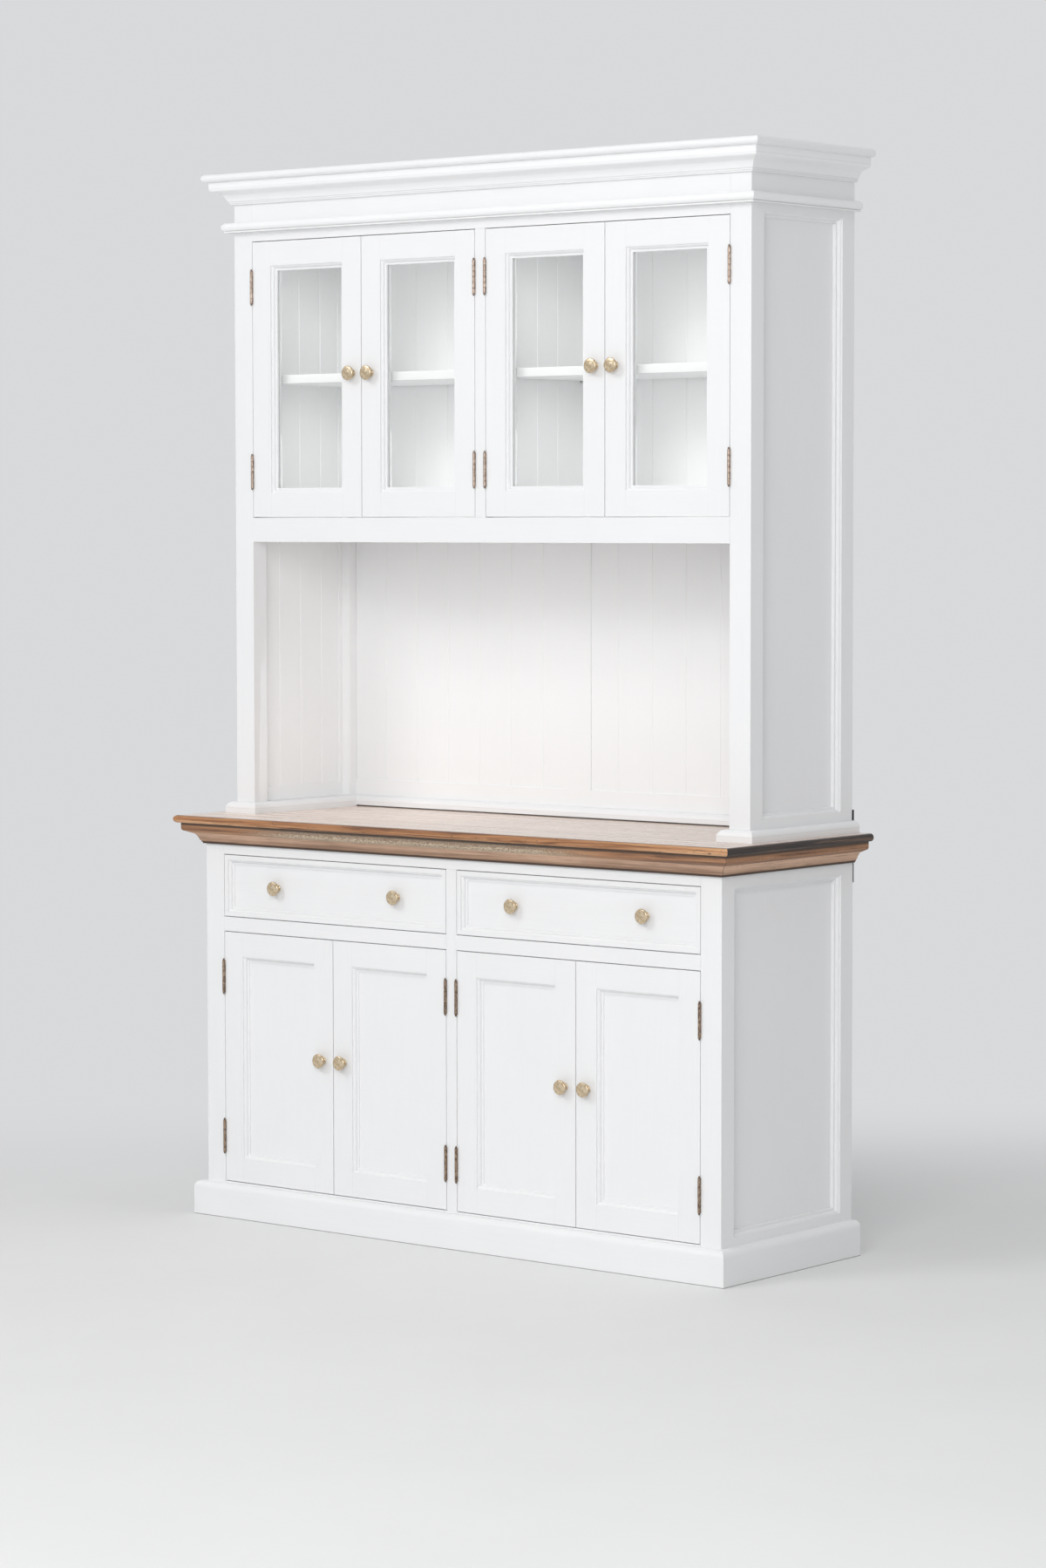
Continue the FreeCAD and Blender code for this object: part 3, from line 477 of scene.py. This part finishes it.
# %% Colours of the counter, with their places on the ramps
# The pale top colours are a painted sheen, standing in for the wax's low-angle gleam.
PAINTED_SHEEN_TOP = ((0.34, (0.60, 0.480, 0.410)), (0.50, (0.71, 0.590, 0.515)),
            (0.66, (0.78, 0.670, 0.600)))
PAINTED_SHEEN_LEFT, PORE, KNOT = (0.960, 0.790, 0.690), (0.30, 0.195, 0.145), (0.22, 0.13, 0.09)
STAINED = ((0.36, (0.180, 0.074, 0.031)), (0.45, (0.36, 0.155, 0.060)),
           (0.56, (0.49, 0.238, 0.102)), (0.68, (0.66, 0.385, 0.200)))
RUBBED, STREAK, FIBRE = (0.780, 0.455, 0.255), (0.105, 0.045, 0.024), (0.10, 0.045, 0.024)
CRACK, ARRIS_WAX, UNDER_BOARD_SHADE = (0.045, 0.022, 0.012), (0.085, 0.045, 0.028), (0.085, 0.066, 0.052)
END_GRAIN = ((0.42, (0.008, 0.006, 0.005)), (0.57, (0.036, 0.023, 0.017)),
             (0.68, (0.22, 0.130, 0.085)))
print("counter stain from", STAINED[0][1], "to", STAINED[-1][1])

# %% Counter board
COUNTER_TIP, COUNTER_END, COUNTER_TOP, BOARD_ROUND = -0.24675, 0.727, 0.850, 0.008
RUB_TOP, RUB_FULL = COUNTER_TOP - 0.0055, COUNTER_TOP - 0.0100
UNDER_TOP, UNDER_FULL = COUNTER_TOP - 0.0150, COUNTER_TOP - 0.0162
END_DEPTH = 0.02
ARRIS_INSET, ARRIS_HALF, ARRIS_FOOT = BOARD_ROUND - 0.0009, 0.0026, COUNTER_TOP - 0.006
COUNTER_RELIEF = 0.00010


def counter_wood():
    f = Finish("counter_wood_painted_sheen")
    x, y, z = f.place()
    ahead, beside = y - COUNTER_TIP, COUNTER_END - abs(x)
    bands, streaks, fibres, cracks = grain_lines(f, x, y, z, 0.45)
    wide = f.noise(f.vector(x * 1.3, y * 17.0, 0.0), 4.0, 0.55, 0.8)
    # Painted sheen on the top, paler towards the left.
    top = f.ramp(bands * 0.45 + wide * 0.55, *PAINTED_SHEEN_TOP)
    top = f.blend(x.clear(0.10, -0.35) * 0.50, top, PAINTED_SHEEN_LEFT)
    pores = f.noise(f.vector(x * 55.0, y * 900.0, 0.0), 2.0, 0.6)
    top = f.blend(pores.clear(0.64, 0.78) * 0.45, top, PORE)
    knots = f.spots(f.vector(x * 5.0, y * 17.0, 0.0))
    top = f.blend(knots.clear(0.075, 0.030) * 0.7, top, KNOT)
    front = f.ramp(bands, *STAINED)
    rubbed = z.clear(RUB_TOP, RUB_FULL)
    front = f.blend(rubbed * bands.clear(0.38, 0.60) * 0.60, front, RUBBED)
    front = f.blend(streaks.clear(0.54, 0.66) * 0.75, front, STREAK)
    front = f.blend(fibres.clear(0.58, 0.72) * 0.45, front, FIBRE)
    front = f.blend(cracks * 0.9, front, CRACK)
    end_bands = f.noise(f.vector(x * 95.0, y * 3.0, z * 260.0), 5.0, 0.65, 0.4)
    end = f.ramp(end_bands, *END_GRAIN)
    edge = f.blend((beside < ahead) * (beside < END_DEPTH), front, end)
    flat = f.facing()[2].clear(0.86, 0.97)
    colour = f.blend(flat, edge, top)
    inset = ahead.least(beside) + bands * 0.0012
    arris = inset.line(ARRIS_INSET, ARRIS_HALF) * (z > ARRIS_FOOT)
    colour = f.blend(arris * 0.85, colour, ARRIS_WAX)
    # Painted shade: a dark line along the bottom of the board, where it meets the moulding.
    colour = f.blend(z.clear(UNDER_TOP, UNDER_FULL) * 0.9, colour, UNDER_BOARD_SHADE)
    rough = (1.0 - flat) * 0.22 + fibres * 0.16 + bands * 0.14 + 0.13
    height = fibres * 0.5 + bands - streaks - cracks * 2.0 - arris
    surface = f.principled(Base_Color=colour, Roughness=rough,
                           Normal=f.bump(height, COUNTER_RELIEF))
    return f.done(surface)


dress(counter_wood(), "counter_board")

# %% [markdown]
# Under the board runs a moulding of the same wood. In its lower hollow the stain is a thin greyish
# tan, and a painted shade darkens the hollow towards its foot. Its upper round was rubbed back
# along the middle of the front, where pale fibres show through as cream flecks, and is still
# orange brown at both ends; near its top the cream is darkened with painted shade under the board.
# The side lengths and the front length's right end carry the fine upright marks of the saw. Painted
# shade darkens the corner under the board and the last step, and dark wax fills the mitres.

# %% Colours of the counter's moulding, with their places on the ramps
TAN = ((0.36, (0.270, 0.160, 0.104)), (0.50, (0.470, 0.295, 0.198)),
       (0.60, (0.640, 0.420, 0.292)), (0.70, (0.760, 0.500, 0.350)))
ORANGE = ((0.36, (0.15, 0.070, 0.036)), (0.48, (0.36, 0.175, 0.088)),
          (0.66, (0.56, 0.305, 0.160)))
CREAM = ((0.40, (0.190, 0.130, 0.085)), (0.48, (0.42, 0.310, 0.215)),
         (0.57, (0.78, 0.645, 0.470)), (0.67, (0.90, 0.800, 0.640)))
CREAM_TOP_SHADE, SAW_MARK = (0.235, 0.160, 0.112), (0.105, 0.060, 0.038)
DARK_STREAK, DARK_FIBRE = (0.135, 0.085, 0.058), (0.115, 0.072, 0.048)
# The corner under the board and the foot's step are darkened with painted shade; the mitres hold
# dark wax.
CHANNEL_SHADE = (0.070, 0.052, 0.040)
FOOT_SHADOW, MITRE_WAX = (0.040, 0.025, 0.018), (0.045, 0.028, 0.020)
print("moulding tan from", TAN[0][1], "to", TAN[-1][1])

# %% Counter moulding
MOULDING_FOOT, ROUND_FOOT, ROUND_TOP, CHANNEL = 0.7930, 0.8125, 0.8235, 0.8285
SAWN_FOOT, SAWN_TOP, SAWN_FINE = 0.798, 0.816, 620.0
MOULDING_RELIEF = 0.00016


def counter_moulding_wood():
    f = Finish("counter_moulding_wood")
    x, y, z = f.place()
    side_out, front_out = abs(x) - BASE_HALF, BASE_FRONT - y
    turned = side_out > front_out
    run, out, rise = f.parts(f.between(turned, f.vector(x, y, z), f.vector(y, x, z)))
    bands, streaks, fibres, cracks = grain_lines(f, run, out, rise, 0.40)
    patches = f.noise(f.vector(run * 3.1, out * 3.0, rise * 9.0), 3.0, 0.6)
    tan = bands * 0.65 + patches * 0.35 + turned.most(x.clear(0.05, 0.35)) * 0.07
    # Painted shade: the hollow's tan darkens towards its foot.
    tan = tan + rise.clear(MOULDING_FOOT + 0.002, ROUND_FOOT) * 0.16 - 0.05
    lower = f.ramp(tan, *TAN)
    orange = f.ramp(bands, *ORANGE)
    flecks = f.noise(f.vector(run * 230.0, out * 650.0, rise * 650.0), 4.0, 0.78)
    cream = f.ramp(flecks, *CREAM)
    # Painted shade under the board: the cream darkens towards the top of the round.
    cream = f.blend((rise + streaks * 0.004).clear(ROUND_TOP - 0.003, ROUND_TOP + 0.004) * 0.7,
                    cream, CREAM_TOP_SHADE)
    middle = abs(x + 0.02 + patches * 0.12).clear(0.50, 0.30)
    worn = middle * (1.0 - turned)
    upper = f.blend(worn, orange, cream)
    colour = f.blend((rise + bands * 0.002).clear(ROUND_FOOT, ROUND_FOOT + 0.003), lower, upper)
    slant = f.between(turned, f.vector(x + z * 1.2, 0.0, z * 0.1), f.vector(y, 0.0, z * 0.15))
    ticks = f.noise(f.node("ShaderNodeVectorMath", {"operation": "SCALE"},
                           {"Vector": slant, "Scale": SAWN_FINE}), 2.0, 0.6)
    sawn = turned.most(x.clear(0.42, 0.55)) * ticks.clear(0.52, 0.66)
    colour = f.blend(sawn * rise.clear(SAWN_FOOT, SAWN_TOP) * 0.55, colour, SAW_MARK)
    stain = streaks.clear(0.54, 0.68) * (0.62 - worn * 0.25)
    colour = f.blend(stain, colour, DARK_STREAK)
    colour = f.blend(fibres.clear(0.60, 0.76) * 0.45, colour, DARK_FIBRE)
    # Painted shade in the corner under the board.
    channel = rise.clear(CHANNEL - 0.001, CHANNEL + 0.0015)
    colour = f.blend(channel * 0.85, colour, CHANNEL_SHADE)
    # Painted shadow along the foot of the moulding.
    foot = rise.clear(MOULDING_FOOT + 0.0022, MOULDING_FOOT + 0.0010)
    colour = f.blend(foot * 0.9, colour, FOOT_SHADOW)
    mitre = (side_out - front_out).line(0.0, 0.0010) * (side_out > 0.001)
    colour = f.blend(mitre * 0.85, colour, MITRE_WAX)
    height = fibres * 0.6 + bands + worn * flecks - sawn * 0.6 - mitre
    surface = f.principled(Base_Color=colour, Roughness=bands * 0.25 + flecks * 0.15 + 0.38,
                           Normal=f.bump(height, MOULDING_RELIEF))
    return f.done(surface)


dress(counter_moulding_wood(), "counter_moulding")

# %% [markdown]
# ## Drawer boxes
# The drawers' sides, backs and bottoms and the runners under them are bare pine, seen when a
# drawer is open. Pine has broad honey bands of summer growth and small dark knots.

# %% Bare pine
PINE = ((0.34, (0.58, 0.400, 0.215)), (0.50, (0.68, 0.505, 0.305)), (0.66, (0.74, 0.590, 0.390)))
PINE_KNOT, PINE_RELIEF = (0.20, 0.095, 0.04), 0.00018


def bare_pine():
    f = Finish("bare_pine")
    x, y, z = f.place()
    cross = abs(f.facing()[1]) > 0.7
    place = f.between(cross, f.vector(x, y, z), f.vector(y, x, z))
    across, run, rise = f.parts(place)
    rings = f.noise(f.vector(across * 45.0, run * 1.5, rise * 45.0), 3.0, 0.45, 0.7)
    fibre = f.noise(f.vector(across * 900.0, run * 14.0, rise * 900.0), 3.0, 0.65)
    knots = f.spots(f.vector(x * 7.0, y * 3.2, z * 9.0))
    colour = f.ramp(rings + fibre * 0.16 - 0.08, *PINE)
    colour = f.blend(knots.clear(0.10, 0.05), colour, PINE_KNOT)
    surface = f.principled(Base_Color=colour, Roughness=rings * 0.2 + 0.5,
                           Normal=f.bump(fibre + rings, PINE_RELIEF))
    return f.done(surface)


dress(bare_pine(), "drawer_runners", "left_drawer_box", "right_drawer_box")

# %% [markdown]
# ## Glass
# A pane of thin window glass lets nearly all light through, with a tint that hardly shows, and
# mirrors the room more at a low angle. Mixing a transparent and a glossy shader gives both
# without bending light, which a thin pane doesn't visibly do. The mirror's share rises with the
# fifth power of how far a face turns away, as it does on glass, the same from either side.

# %% Panes
GLASS_TINT, GLASS_GLOSS = (0.998, 0.999, 0.996, 1.0), 0.02
MIRROR_POWER, MIRROR_RISE, MIRROR_LEAST = 5.0, 0.96, 0.012
RIPPLE_DEPTH = 0.0008


def pane_glass():
    f = Finish("pane_glass_clear")
    x, y, z = f.place()
    ripple = f.noise(f.vector(x * 9.0, y * 9.0, z * 4.0), 1.0)
    normal = f.bump(ripple, RIPPLE_DEPTH)
    clear = f.node("ShaderNodeBsdfTransparent", values={"Color": GLASS_TINT})
    mirror = f.node("ShaderNodeBsdfGlossy", values={"Color": (1.0, 1.0, 1.0, 1.0),
                                                    "Roughness": GLASS_GLOSS, "Normal": normal})
    away = f.node("ShaderNodeLayerWeight", values={"Blend": 0.5}, out="Facing")
    share = away.maths("POWER", MIRROR_POWER) * MIRROR_RISE + MIRROR_LEAST
    return f.done(f.node("ShaderNodeMixShader", values=(share, clear, mirror)))


dress(pane_glass(), *[b + "_pane" for b in door_bodies if b.startswith("glass")])

# %% [markdown]
# ## Hinges and small metal
# The hinges are antiqued brass: those on the hutch are a pale pinkish bronze, and those on the base
# are brown. Each barrel is six knuckles on a pin: the joints between them and the tips of the pin
# hold the dark patina. A knuckle's number follows from its height in the barrel, so the joints sit
# where the metal really parts. The shelf pins are plain steel, and the two straps at the back are
# black.

# %% Small metal
STEEL_DARK, STEEL_LIGHT, STEEL_ROUGH = (0.38, 0.38, 0.39), (0.62, 0.62, 0.63), 0.38
STRAP_DARK, STRAP_LIGHT, STRAP_ROUGH = (0.012, 0.012, 0.013), (0.035, 0.034, 0.033), 0.50
MARKS_FINE, MARKS_LONG, METAL_RELIEF = 2600.0, 300.0, 0.00010


def scratches(f, x, y, z):
    """Fine marks along the height, from filing and polishing."""
    return f.noise(f.vector(x * MARKS_FINE, y * MARKS_FINE, z * MARKS_LONG), 2.0)


def metal(name, dark, light, roughness):
    f = Finish(name)
    x, y, z = f.place()
    patches = f.noise(f.vector(x * 260.0, y * 260.0, z * 200.0), 4.0, 0.65)
    marks = scratches(f, x, y, z)
    colour = f.blend(patches.clear(0.34, 0.66), dark, light)
    surface = f.principled(Base_Color=colour, Metallic=1.0,
                           Roughness=patches * -0.2 + marks * 0.15 + roughness,
                           Normal=f.bump(patches + marks * 0.3, METAL_RELIEF))
    return f.done(surface)


dress(metal("pin_steel", STEEL_DARK, STEEL_LIGHT, STEEL_ROUGH), "shelf_pins_and_catches")
dress(metal("black_strap_steel", STRAP_DARK, STRAP_LIGHT, STRAP_ROUGH), "joining_straps")

# %% Hinges
HINGE_INSET, BARREL, KNUCKLES = 0.061, 0.068, 6
PITCH = BARREL / KNUCKLES
PAST_END, JOINT_HALF = 0.04, 0.075     # in knuckles
PALE_LOW, PALE_HIGH = (0.310, 0.232, 0.184), (0.540, 0.435, 0.362)
BROWN_LOW, BROWN_HIGH = (0.135, 0.090, 0.062), (0.420, 0.315, 0.230)
JOINT_PATINA, TIP_PATINA = (0.085, 0.058, 0.045), (0.130, 0.090, 0.070)


def hinge_bronze():
    f = Finish("antiqued_hinge_brass")
    x, y, z = f.place()
    joints, barrels = nothing(x, y, z), nothing(x, y, z)
    for kind in ("panel", "glass"):
        low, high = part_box(kind + "_door_left_outer_frame")
        for foot in (low.z + HINGE_INSET, high.z - HINGE_INSET - BARREL):
            number = (z - foot) / PITCH
            inside = (number > -PAST_END) * (number < KNUCKLES + PAST_END)
            joints = joints.most((number + 0.5).fract().line(0.5, JOINT_HALF) * inside)
            barrels = barrels.most(inside)
    patches = f.noise(f.vector(x * 240.0, y * 240.0, z * 170.0), 4.0, 0.66)
    marks = scratches(f, x, y, z)
    rubbed = patches.clear(0.36, 0.60)
    pale = f.blend(rubbed, PALE_LOW, PALE_HIGH)
    brown = f.blend(rubbed, BROWN_LOW, BROWN_HIGH)
    colour = f.blend(z > COUNTER_TOP, brown, pale)
    colour = f.blend(joints * 0.60, colour, JOINT_PATINA)
    colour = f.blend((1.0 - barrels) * 0.70, colour, TIP_PATINA)
    height = patches + marks * 0.3 - joints * 2.0
    surface = f.principled(Base_Color=colour, Metallic=1.0, Roughness=patches * -0.2 + 0.46,
                           Normal=f.bump(height, METAL_RELIEF))
    return f.done(surface)


dress(hinge_bronze(), "hinge_leaves_on_posts", *[b + "_hinge_leaves" for b in door_bodies])

# %% [markdown]
# ## Knobs
# A knob is turned from a brass rod on a lathe: a foot against the door, a hollow neck, and a
# disc with a slightly domed face. Spinning half of its outline round its axis is the same
# motion. The lathe leaves fine rings, so each corner stores its place from the knob's middle in
# an attribute, which the finish reads: the rings then sit true on every knob.

# %% Outline of the knob
# (distance from the axis, distance out of the door), in metres
KNOB_OUTLINE = [(0.0, 0.0), (0.0082, 0.0), (0.0085, 0.0003), (0.0085, 0.0017), (0.0082, 0.0020),
                (0.0068, 0.0026), (0.0056, 0.0036), (0.0048, 0.0050), (0.0045, 0.0066),
                (0.0047, 0.0082), (0.0056, 0.0098), (0.0072, 0.0111), (0.0096, 0.0121),
                (0.0124, 0.0126), (0.0142, 0.0129), (0.0148, 0.0134), (0.0150, 0.0142),
                (0.0150, 0.0158), (0.0147, 0.0167), (0.0141, 0.0173), (0.0132, 0.01758),
                (0.0110, 0.01792), (0.0080, 0.01822), (0.0040, 0.01843), (0.0, 0.0185)]
SCREW_OUTLINE = [(0.0, 0.0), (0.0020, 0.0), (0.0020, -0.0001), (0.0045, -0.0001),
                 (0.0045, -0.0012), (0.0038, -0.0021), (0.0020, -0.0025), (0.0, -0.0025)]
KNOB_STEPS, SCREW_STEPS, SAME_PLACE = 64, 32, 0.00001
print("knob outline of", len(KNOB_OUTLINE), "corners")


# %% Turning one knob
def turned(shape, outline, middle, steps):
    """Spins an outline round the knob's axis, which points along -y."""
    corners = [shape.verts.new((middle.x + r, middle.y - out, middle.z)) for r, out in outline]
    edges = [shape.edges.new(pair) for pair in zip(corners, corners[1:])]
    bmesh.ops.spin(shape, geom=corners + edges, cent=middle, axis=(0, 1, 0), angle=2 * pi,
                   steps=steps, use_merge=True)
    bmesh.ops.remove_doubles(shape, verts=shape.verts[:], dist=SAME_PLACE)


def make_knob(name, middle, wood):
    """A knob and, behind the wood it is fixed to, the head of its screw."""
    shape = bmesh.new()
    turned(shape, KNOB_OUTLINE, middle, KNOB_STEPS)
    turned(shape, SCREW_OUTLINE, middle + Vector((0, wood, 0)), SCREW_STEPS)
    bmesh.ops.recalc_face_normals(shape, faces=shape.faces[:])
    place = shape.verts.layers.float_vector.new("from_knob_middle")
    for vert in shape.verts:
        vert[place] = vert.co - middle
    mesh = bpy.data.meshes.new(name)
    shape.to_mesh(mesh)
    shape.free()
    mesh.shade_smooth()
    knob = bpy.data.objects.new(name, mesh)
    bpy.context.scene.collection.objects.link(knob)
    return knob


# %% [markdown]
# The brass is left bare. On the disc's face the lathe's rings, finer than the eye can part, spread
# the light into two bright fans like an hourglass. Hands keep the face pale, while the neck has
# gone browner. A dark ring at the corner of the rim is a painted dark reflection. The rings are
# bump noise that varies only with the distance from the axis, which is how a lathe cuts them.

# %% Knob brass
BRASS_LOW, BRASS_HIGH = (0.60, 0.460, 0.290), (0.79, 0.660, 0.475)
RIM_DARK_REFLECTION, NECK_PATINA = (0.22, 0.135, 0.065), (0.20, 0.120, 0.055)
RING_FINE, BAND_FINE, HANDLED, RING_DEPTH = 7000.0, 900.0, 150.0, 0.00015
NECK_OUT = -0.0140


def knob_brass():
    f = Finish("satin_knob_brass")
    place = f.node("ShaderNodeAttribute", {"attribute_name": "from_knob_middle"}, out="Vector")
    x, y, z = f.parts(place)
    radius = (x * x + z * z).maths("SQRT")
    rings = f.noise(f.vector(radius * RING_FINE, y * RING_FINE, 0.0), 1.0, 0.5)
    bands = f.noise(f.vector(radius * BAND_FINE, y * BAND_FINE, 4.0), 2.0, 0.5)
    handled = f.noise(f.vector(x * HANDLED, y * HANDLED, z * HANDLED), 2.0, 0.5)
    colour = f.blend((bands * 0.15 + handled * 0.85).clear(0.36, 0.62), BRASS_LOW, BRASS_HIGH)
    # Painted reflection: a dark ring at the corner of the rim.
    rim = radius.clear(0.0140, 0.0148) * radius.clear(0.01505, 0.01495)
    colour = f.blend(rim * 0.35, colour, RIM_DARK_REFLECTION)
    neck = radius.clear(0.0100, 0.0060) * (y > NECK_OUT)
    colour = f.blend(neck * 0.5, colour, NECK_PATINA)
    surface = f.principled(Base_Color=colour, Metallic=1.0, Roughness=rings * 0.08 + 0.17,
                           Normal=f.bump(rings, RING_DEPTH))
    return f.done(surface)


brass = knob_brass()
print("brass from", BRASS_LOW, "to", BRASS_HIGH)

# %% Turn every knob
WOOD = 0.022
KNOB_REACH = KNOB_OUTLINE[-1][1]


def turn_knobs(node, body):
    """One knob for each in the node: a drawer's node holds two, its ends apart."""
    low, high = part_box(node)
    radius = (high.z - low.z) / 2
    front = low.y + KNOB_REACH
    row = sorted({round(low.x + radius, 5), round(high.x - radius, 5)})
    made = []
    for number, x in enumerate(row):
        knob = make_knob(f"{node}_{number}", Vector((x, front, low.z + radius)), WOOD)
        knob.data.materials.append(brass)
        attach(knob, body)
        made.append(knob)
    for knob in made:
        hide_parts(node)
    print(node, "has", len(made), "knobs")


for body in door_bodies:
    turn_knobs(body + "_knob", body)
for side in ("left", "right"):
    turn_knobs(f"{side}_drawer_knobs", f"{side}_drawer")

# %% [markdown]
# ## The studio
# A pale floor and an even backdrop of light grey. Near the object the floor is an ordinary matt
# surface that takes the shadow. Far from it, behind it, and in front where the lamps hang, the
# floor turns into the backdrop's own grey, so that no horizon and no pool of light shows. The
# world shows that grey to the camera and in mirrors, while the light it sheds on the boards is
# set apart.

# %% Floor
BACKDROP = (0.690, 0.697, 0.712)
FLOOR_LOW, FLOOR_HIGH = (0.792, 0.793, 0.795), (0.808, 0.809, 0.811)
BACKWARD, LEFTWARD = 0.776, 0.631     # the way the camera looks, on the floor
BEHIND_FADE, FRONT_FADE, FAR_FADE = (0.3, 2.0), (2.6, 4.4), (2.5, 6.5)
FLOOR_SIZE, FLOOR_RELIEF = 60.0, 0.002


def studio_floor():
    f = Finish("studio_floor")
    x, y, z = f.place()
    mottle = f.noise(f.vector(x * 2.0, y * 2.0, 0.0), 4.0, 0.6)
    colour = f.blend(mottle.clear(0.3, 0.7), FLOOR_LOW, FLOOR_HIGH)
    matt = f.principled(Base_Color=colour, Roughness=mottle * 0.1 + 0.85,
                        Normal=f.bump(mottle, FLOOR_RELIEF))
    behind = (y * BACKWARD - x * LEFTWARD).clear(*BEHIND_FADE)
    under_lamps = (-y).clear(*FRONT_FADE)
    far = behind.most(under_lamps).most((x * x + y * y).maths("SQRT").clear(*FAR_FADE))
    even = f.node("ShaderNodeEmission", values={"Color": (*BACKDROP, 1.0), "Strength": 1.0})
    return f.done(f.node("ShaderNodeMixShader", values=(far, matt, even)))


floor_shape = bmesh.new()
bmesh.ops.create_grid(floor_shape, x_segments=1, y_segments=1, size=FLOOR_SIZE)
floor_mesh = bpy.data.meshes.new("studio_floor")
floor_shape.to_mesh(floor_mesh)
floor_shape.free()
floor = bpy.data.objects.new("studio_floor", floor_mesh)
floor_mesh.materials.append(studio_floor())
bpy.context.scene.collection.objects.link(floor)
print("floor", 2 * FLOOR_SIZE, "m across")

# %% World, whose tree belongs to no material
SKY, SKY_LEAST, SKY_OVERHEAD = (0.99, 0.995, 1.0), 0.19, 0.8
world = bpy.data.worlds.new("studio_world")
bpy.context.scene.world = world
world.use_nodes = True
sky = Finish.__new__(Finish)
sky.tree = world.node_tree
sky.tree.nodes.clear()
path = sky.node("ShaderNodeLightPath", out="Is Camera Ray")
rays = path.socket.node.outputs
seen = path.most(Wire(sky, rays["Is Glossy Ray"])).most(Wire(sky, rays["Is Transmission Ray"]))
up = sky.place()[2].most(0.0)
shed = sky.node("ShaderNodeBackground", values={"Color": (*SKY, 1.0),
                                                "Strength": up * up * SKY_OVERHEAD + SKY_LEAST})
shown = sky.node("ShaderNodeBackground", values={"Color": (*BACKDROP, 1.0), "Strength": 1.0})
both = sky.node("ShaderNodeMixShader", values=(seen, shed, shown))
world_output = sky.tree.nodes.new("ShaderNodeOutputWorld")
sky.tree.links.new(both.socket, world_output.inputs["Surface"])
bpy.context.scene.view_settings.view_transform = "Standard"
print("world", BACKDROP)

# %% [markdown]
# Two large square lamps do most of the work. The key lamp hangs high at the left and casts the
# soft shadows under the knobs and the cornice, and the fill lamp at the right lifts the side that
# the key lamp leaves grey. Lamps this broad cast soft shadows by themselves.

# %% Lamps
LAMPS_AIM = (0.0, 0.0, 1.1)
KEY_PLACE, KEY_SIZE, KEY_WATTS = (-2.84, -6.08, 5.46), (3.0, 3.0), 139.0
FILL_PLACE, FILL_SIZE, FILL_WATTS = (3.50, -6.10, 3.20), (3.4, 3.4), 194.0


def soft_lamp(name, place, aim, size, watts, colour=(1.0, 1.0, 1.0)):
    data = bpy.data.lights.new(name, "AREA")
    data.shape = "RECTANGLE"
    data.size, data.size_y = size
    data.energy = watts
    data.color = colour
    lamp = bpy.data.objects.new(name, data)
    lamp.location = place
    lamp.rotation_euler = (Vector(aim) - Vector(place)).to_track_quat("-Z", "Y").to_euler()
    lamp.visible_camera = False
    bpy.context.scene.collection.objects.link(lamp)
    print(name, watts, "W")


soft_lamp("key_lamp", KEY_PLACE, LAMPS_AIM, KEY_SIZE, KEY_WATTS)
soft_lamp("fill_lamp", FILL_PLACE, LAMPS_AIM, FILL_SIZE, FILL_WATTS)

# %% [markdown]
# ## Light inside the hutch
# A hutch in a studio goes grey inside, because little light finds its way past the frames. So
# small soft lamps are hidden behind each pane, one above the shelf and one below it, and one in
# the niche. They aren't part of the furniture. They shine inwards only and the camera doesn't see
# them. They face the back nearly square on, because a turned lamp leaves a hard line on the boards
# where its light ends.

# %% Lamps behind the panes and in the niche
SHELF_LOW, SHELF_HIGH = 1.6520, 1.7980
LAMP_MARGIN, LAMP_BACK = 0.006, 0.004
LOW_WATTS, HIGH_WATTS = 0.13, 0.15
LEFT_SHARE, RIGHT_SHARE = 1.12, 1.08
NICHE_PLACE, NICHE_AIM = (-0.14, -0.085, 1.030), (-0.14, 1.0, 1.000)
NICHE_SIZE, NICHE_WATTS, NICHE_COLOUR = (0.98, 0.28), 0.185, (0.900, 0.955, 1.0)
for body in door_bodies:
    if body.startswith("glass"):
        low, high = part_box(body + "_pane")
        share = LEFT_SHARE if body.startswith("glass_door_left") else RIGHT_SHARE
        for part, foot, head, watts in (("low", low.z + LAMP_MARGIN, SHELF_LOW, LOW_WATTS),
                                        ("high", SHELF_HIGH, high.z - LAMP_MARGIN, HIGH_WATTS)):
            middle = Vector(((low.x + high.x) / 2, high.y + LAMP_BACK, (foot + head) / 2))
            soft_lamp(f"{body}_{part}_lamp", middle, middle + Vector((0, 1, 0)),
                      (high.x - low.x - 2 * LAMP_MARGIN, head - foot), watts * share)
soft_lamp("niche_lamp", NICHE_PLACE, NICHE_AIM, NICHE_SIZE, NICHE_WATTS, NICHE_COLOUR)
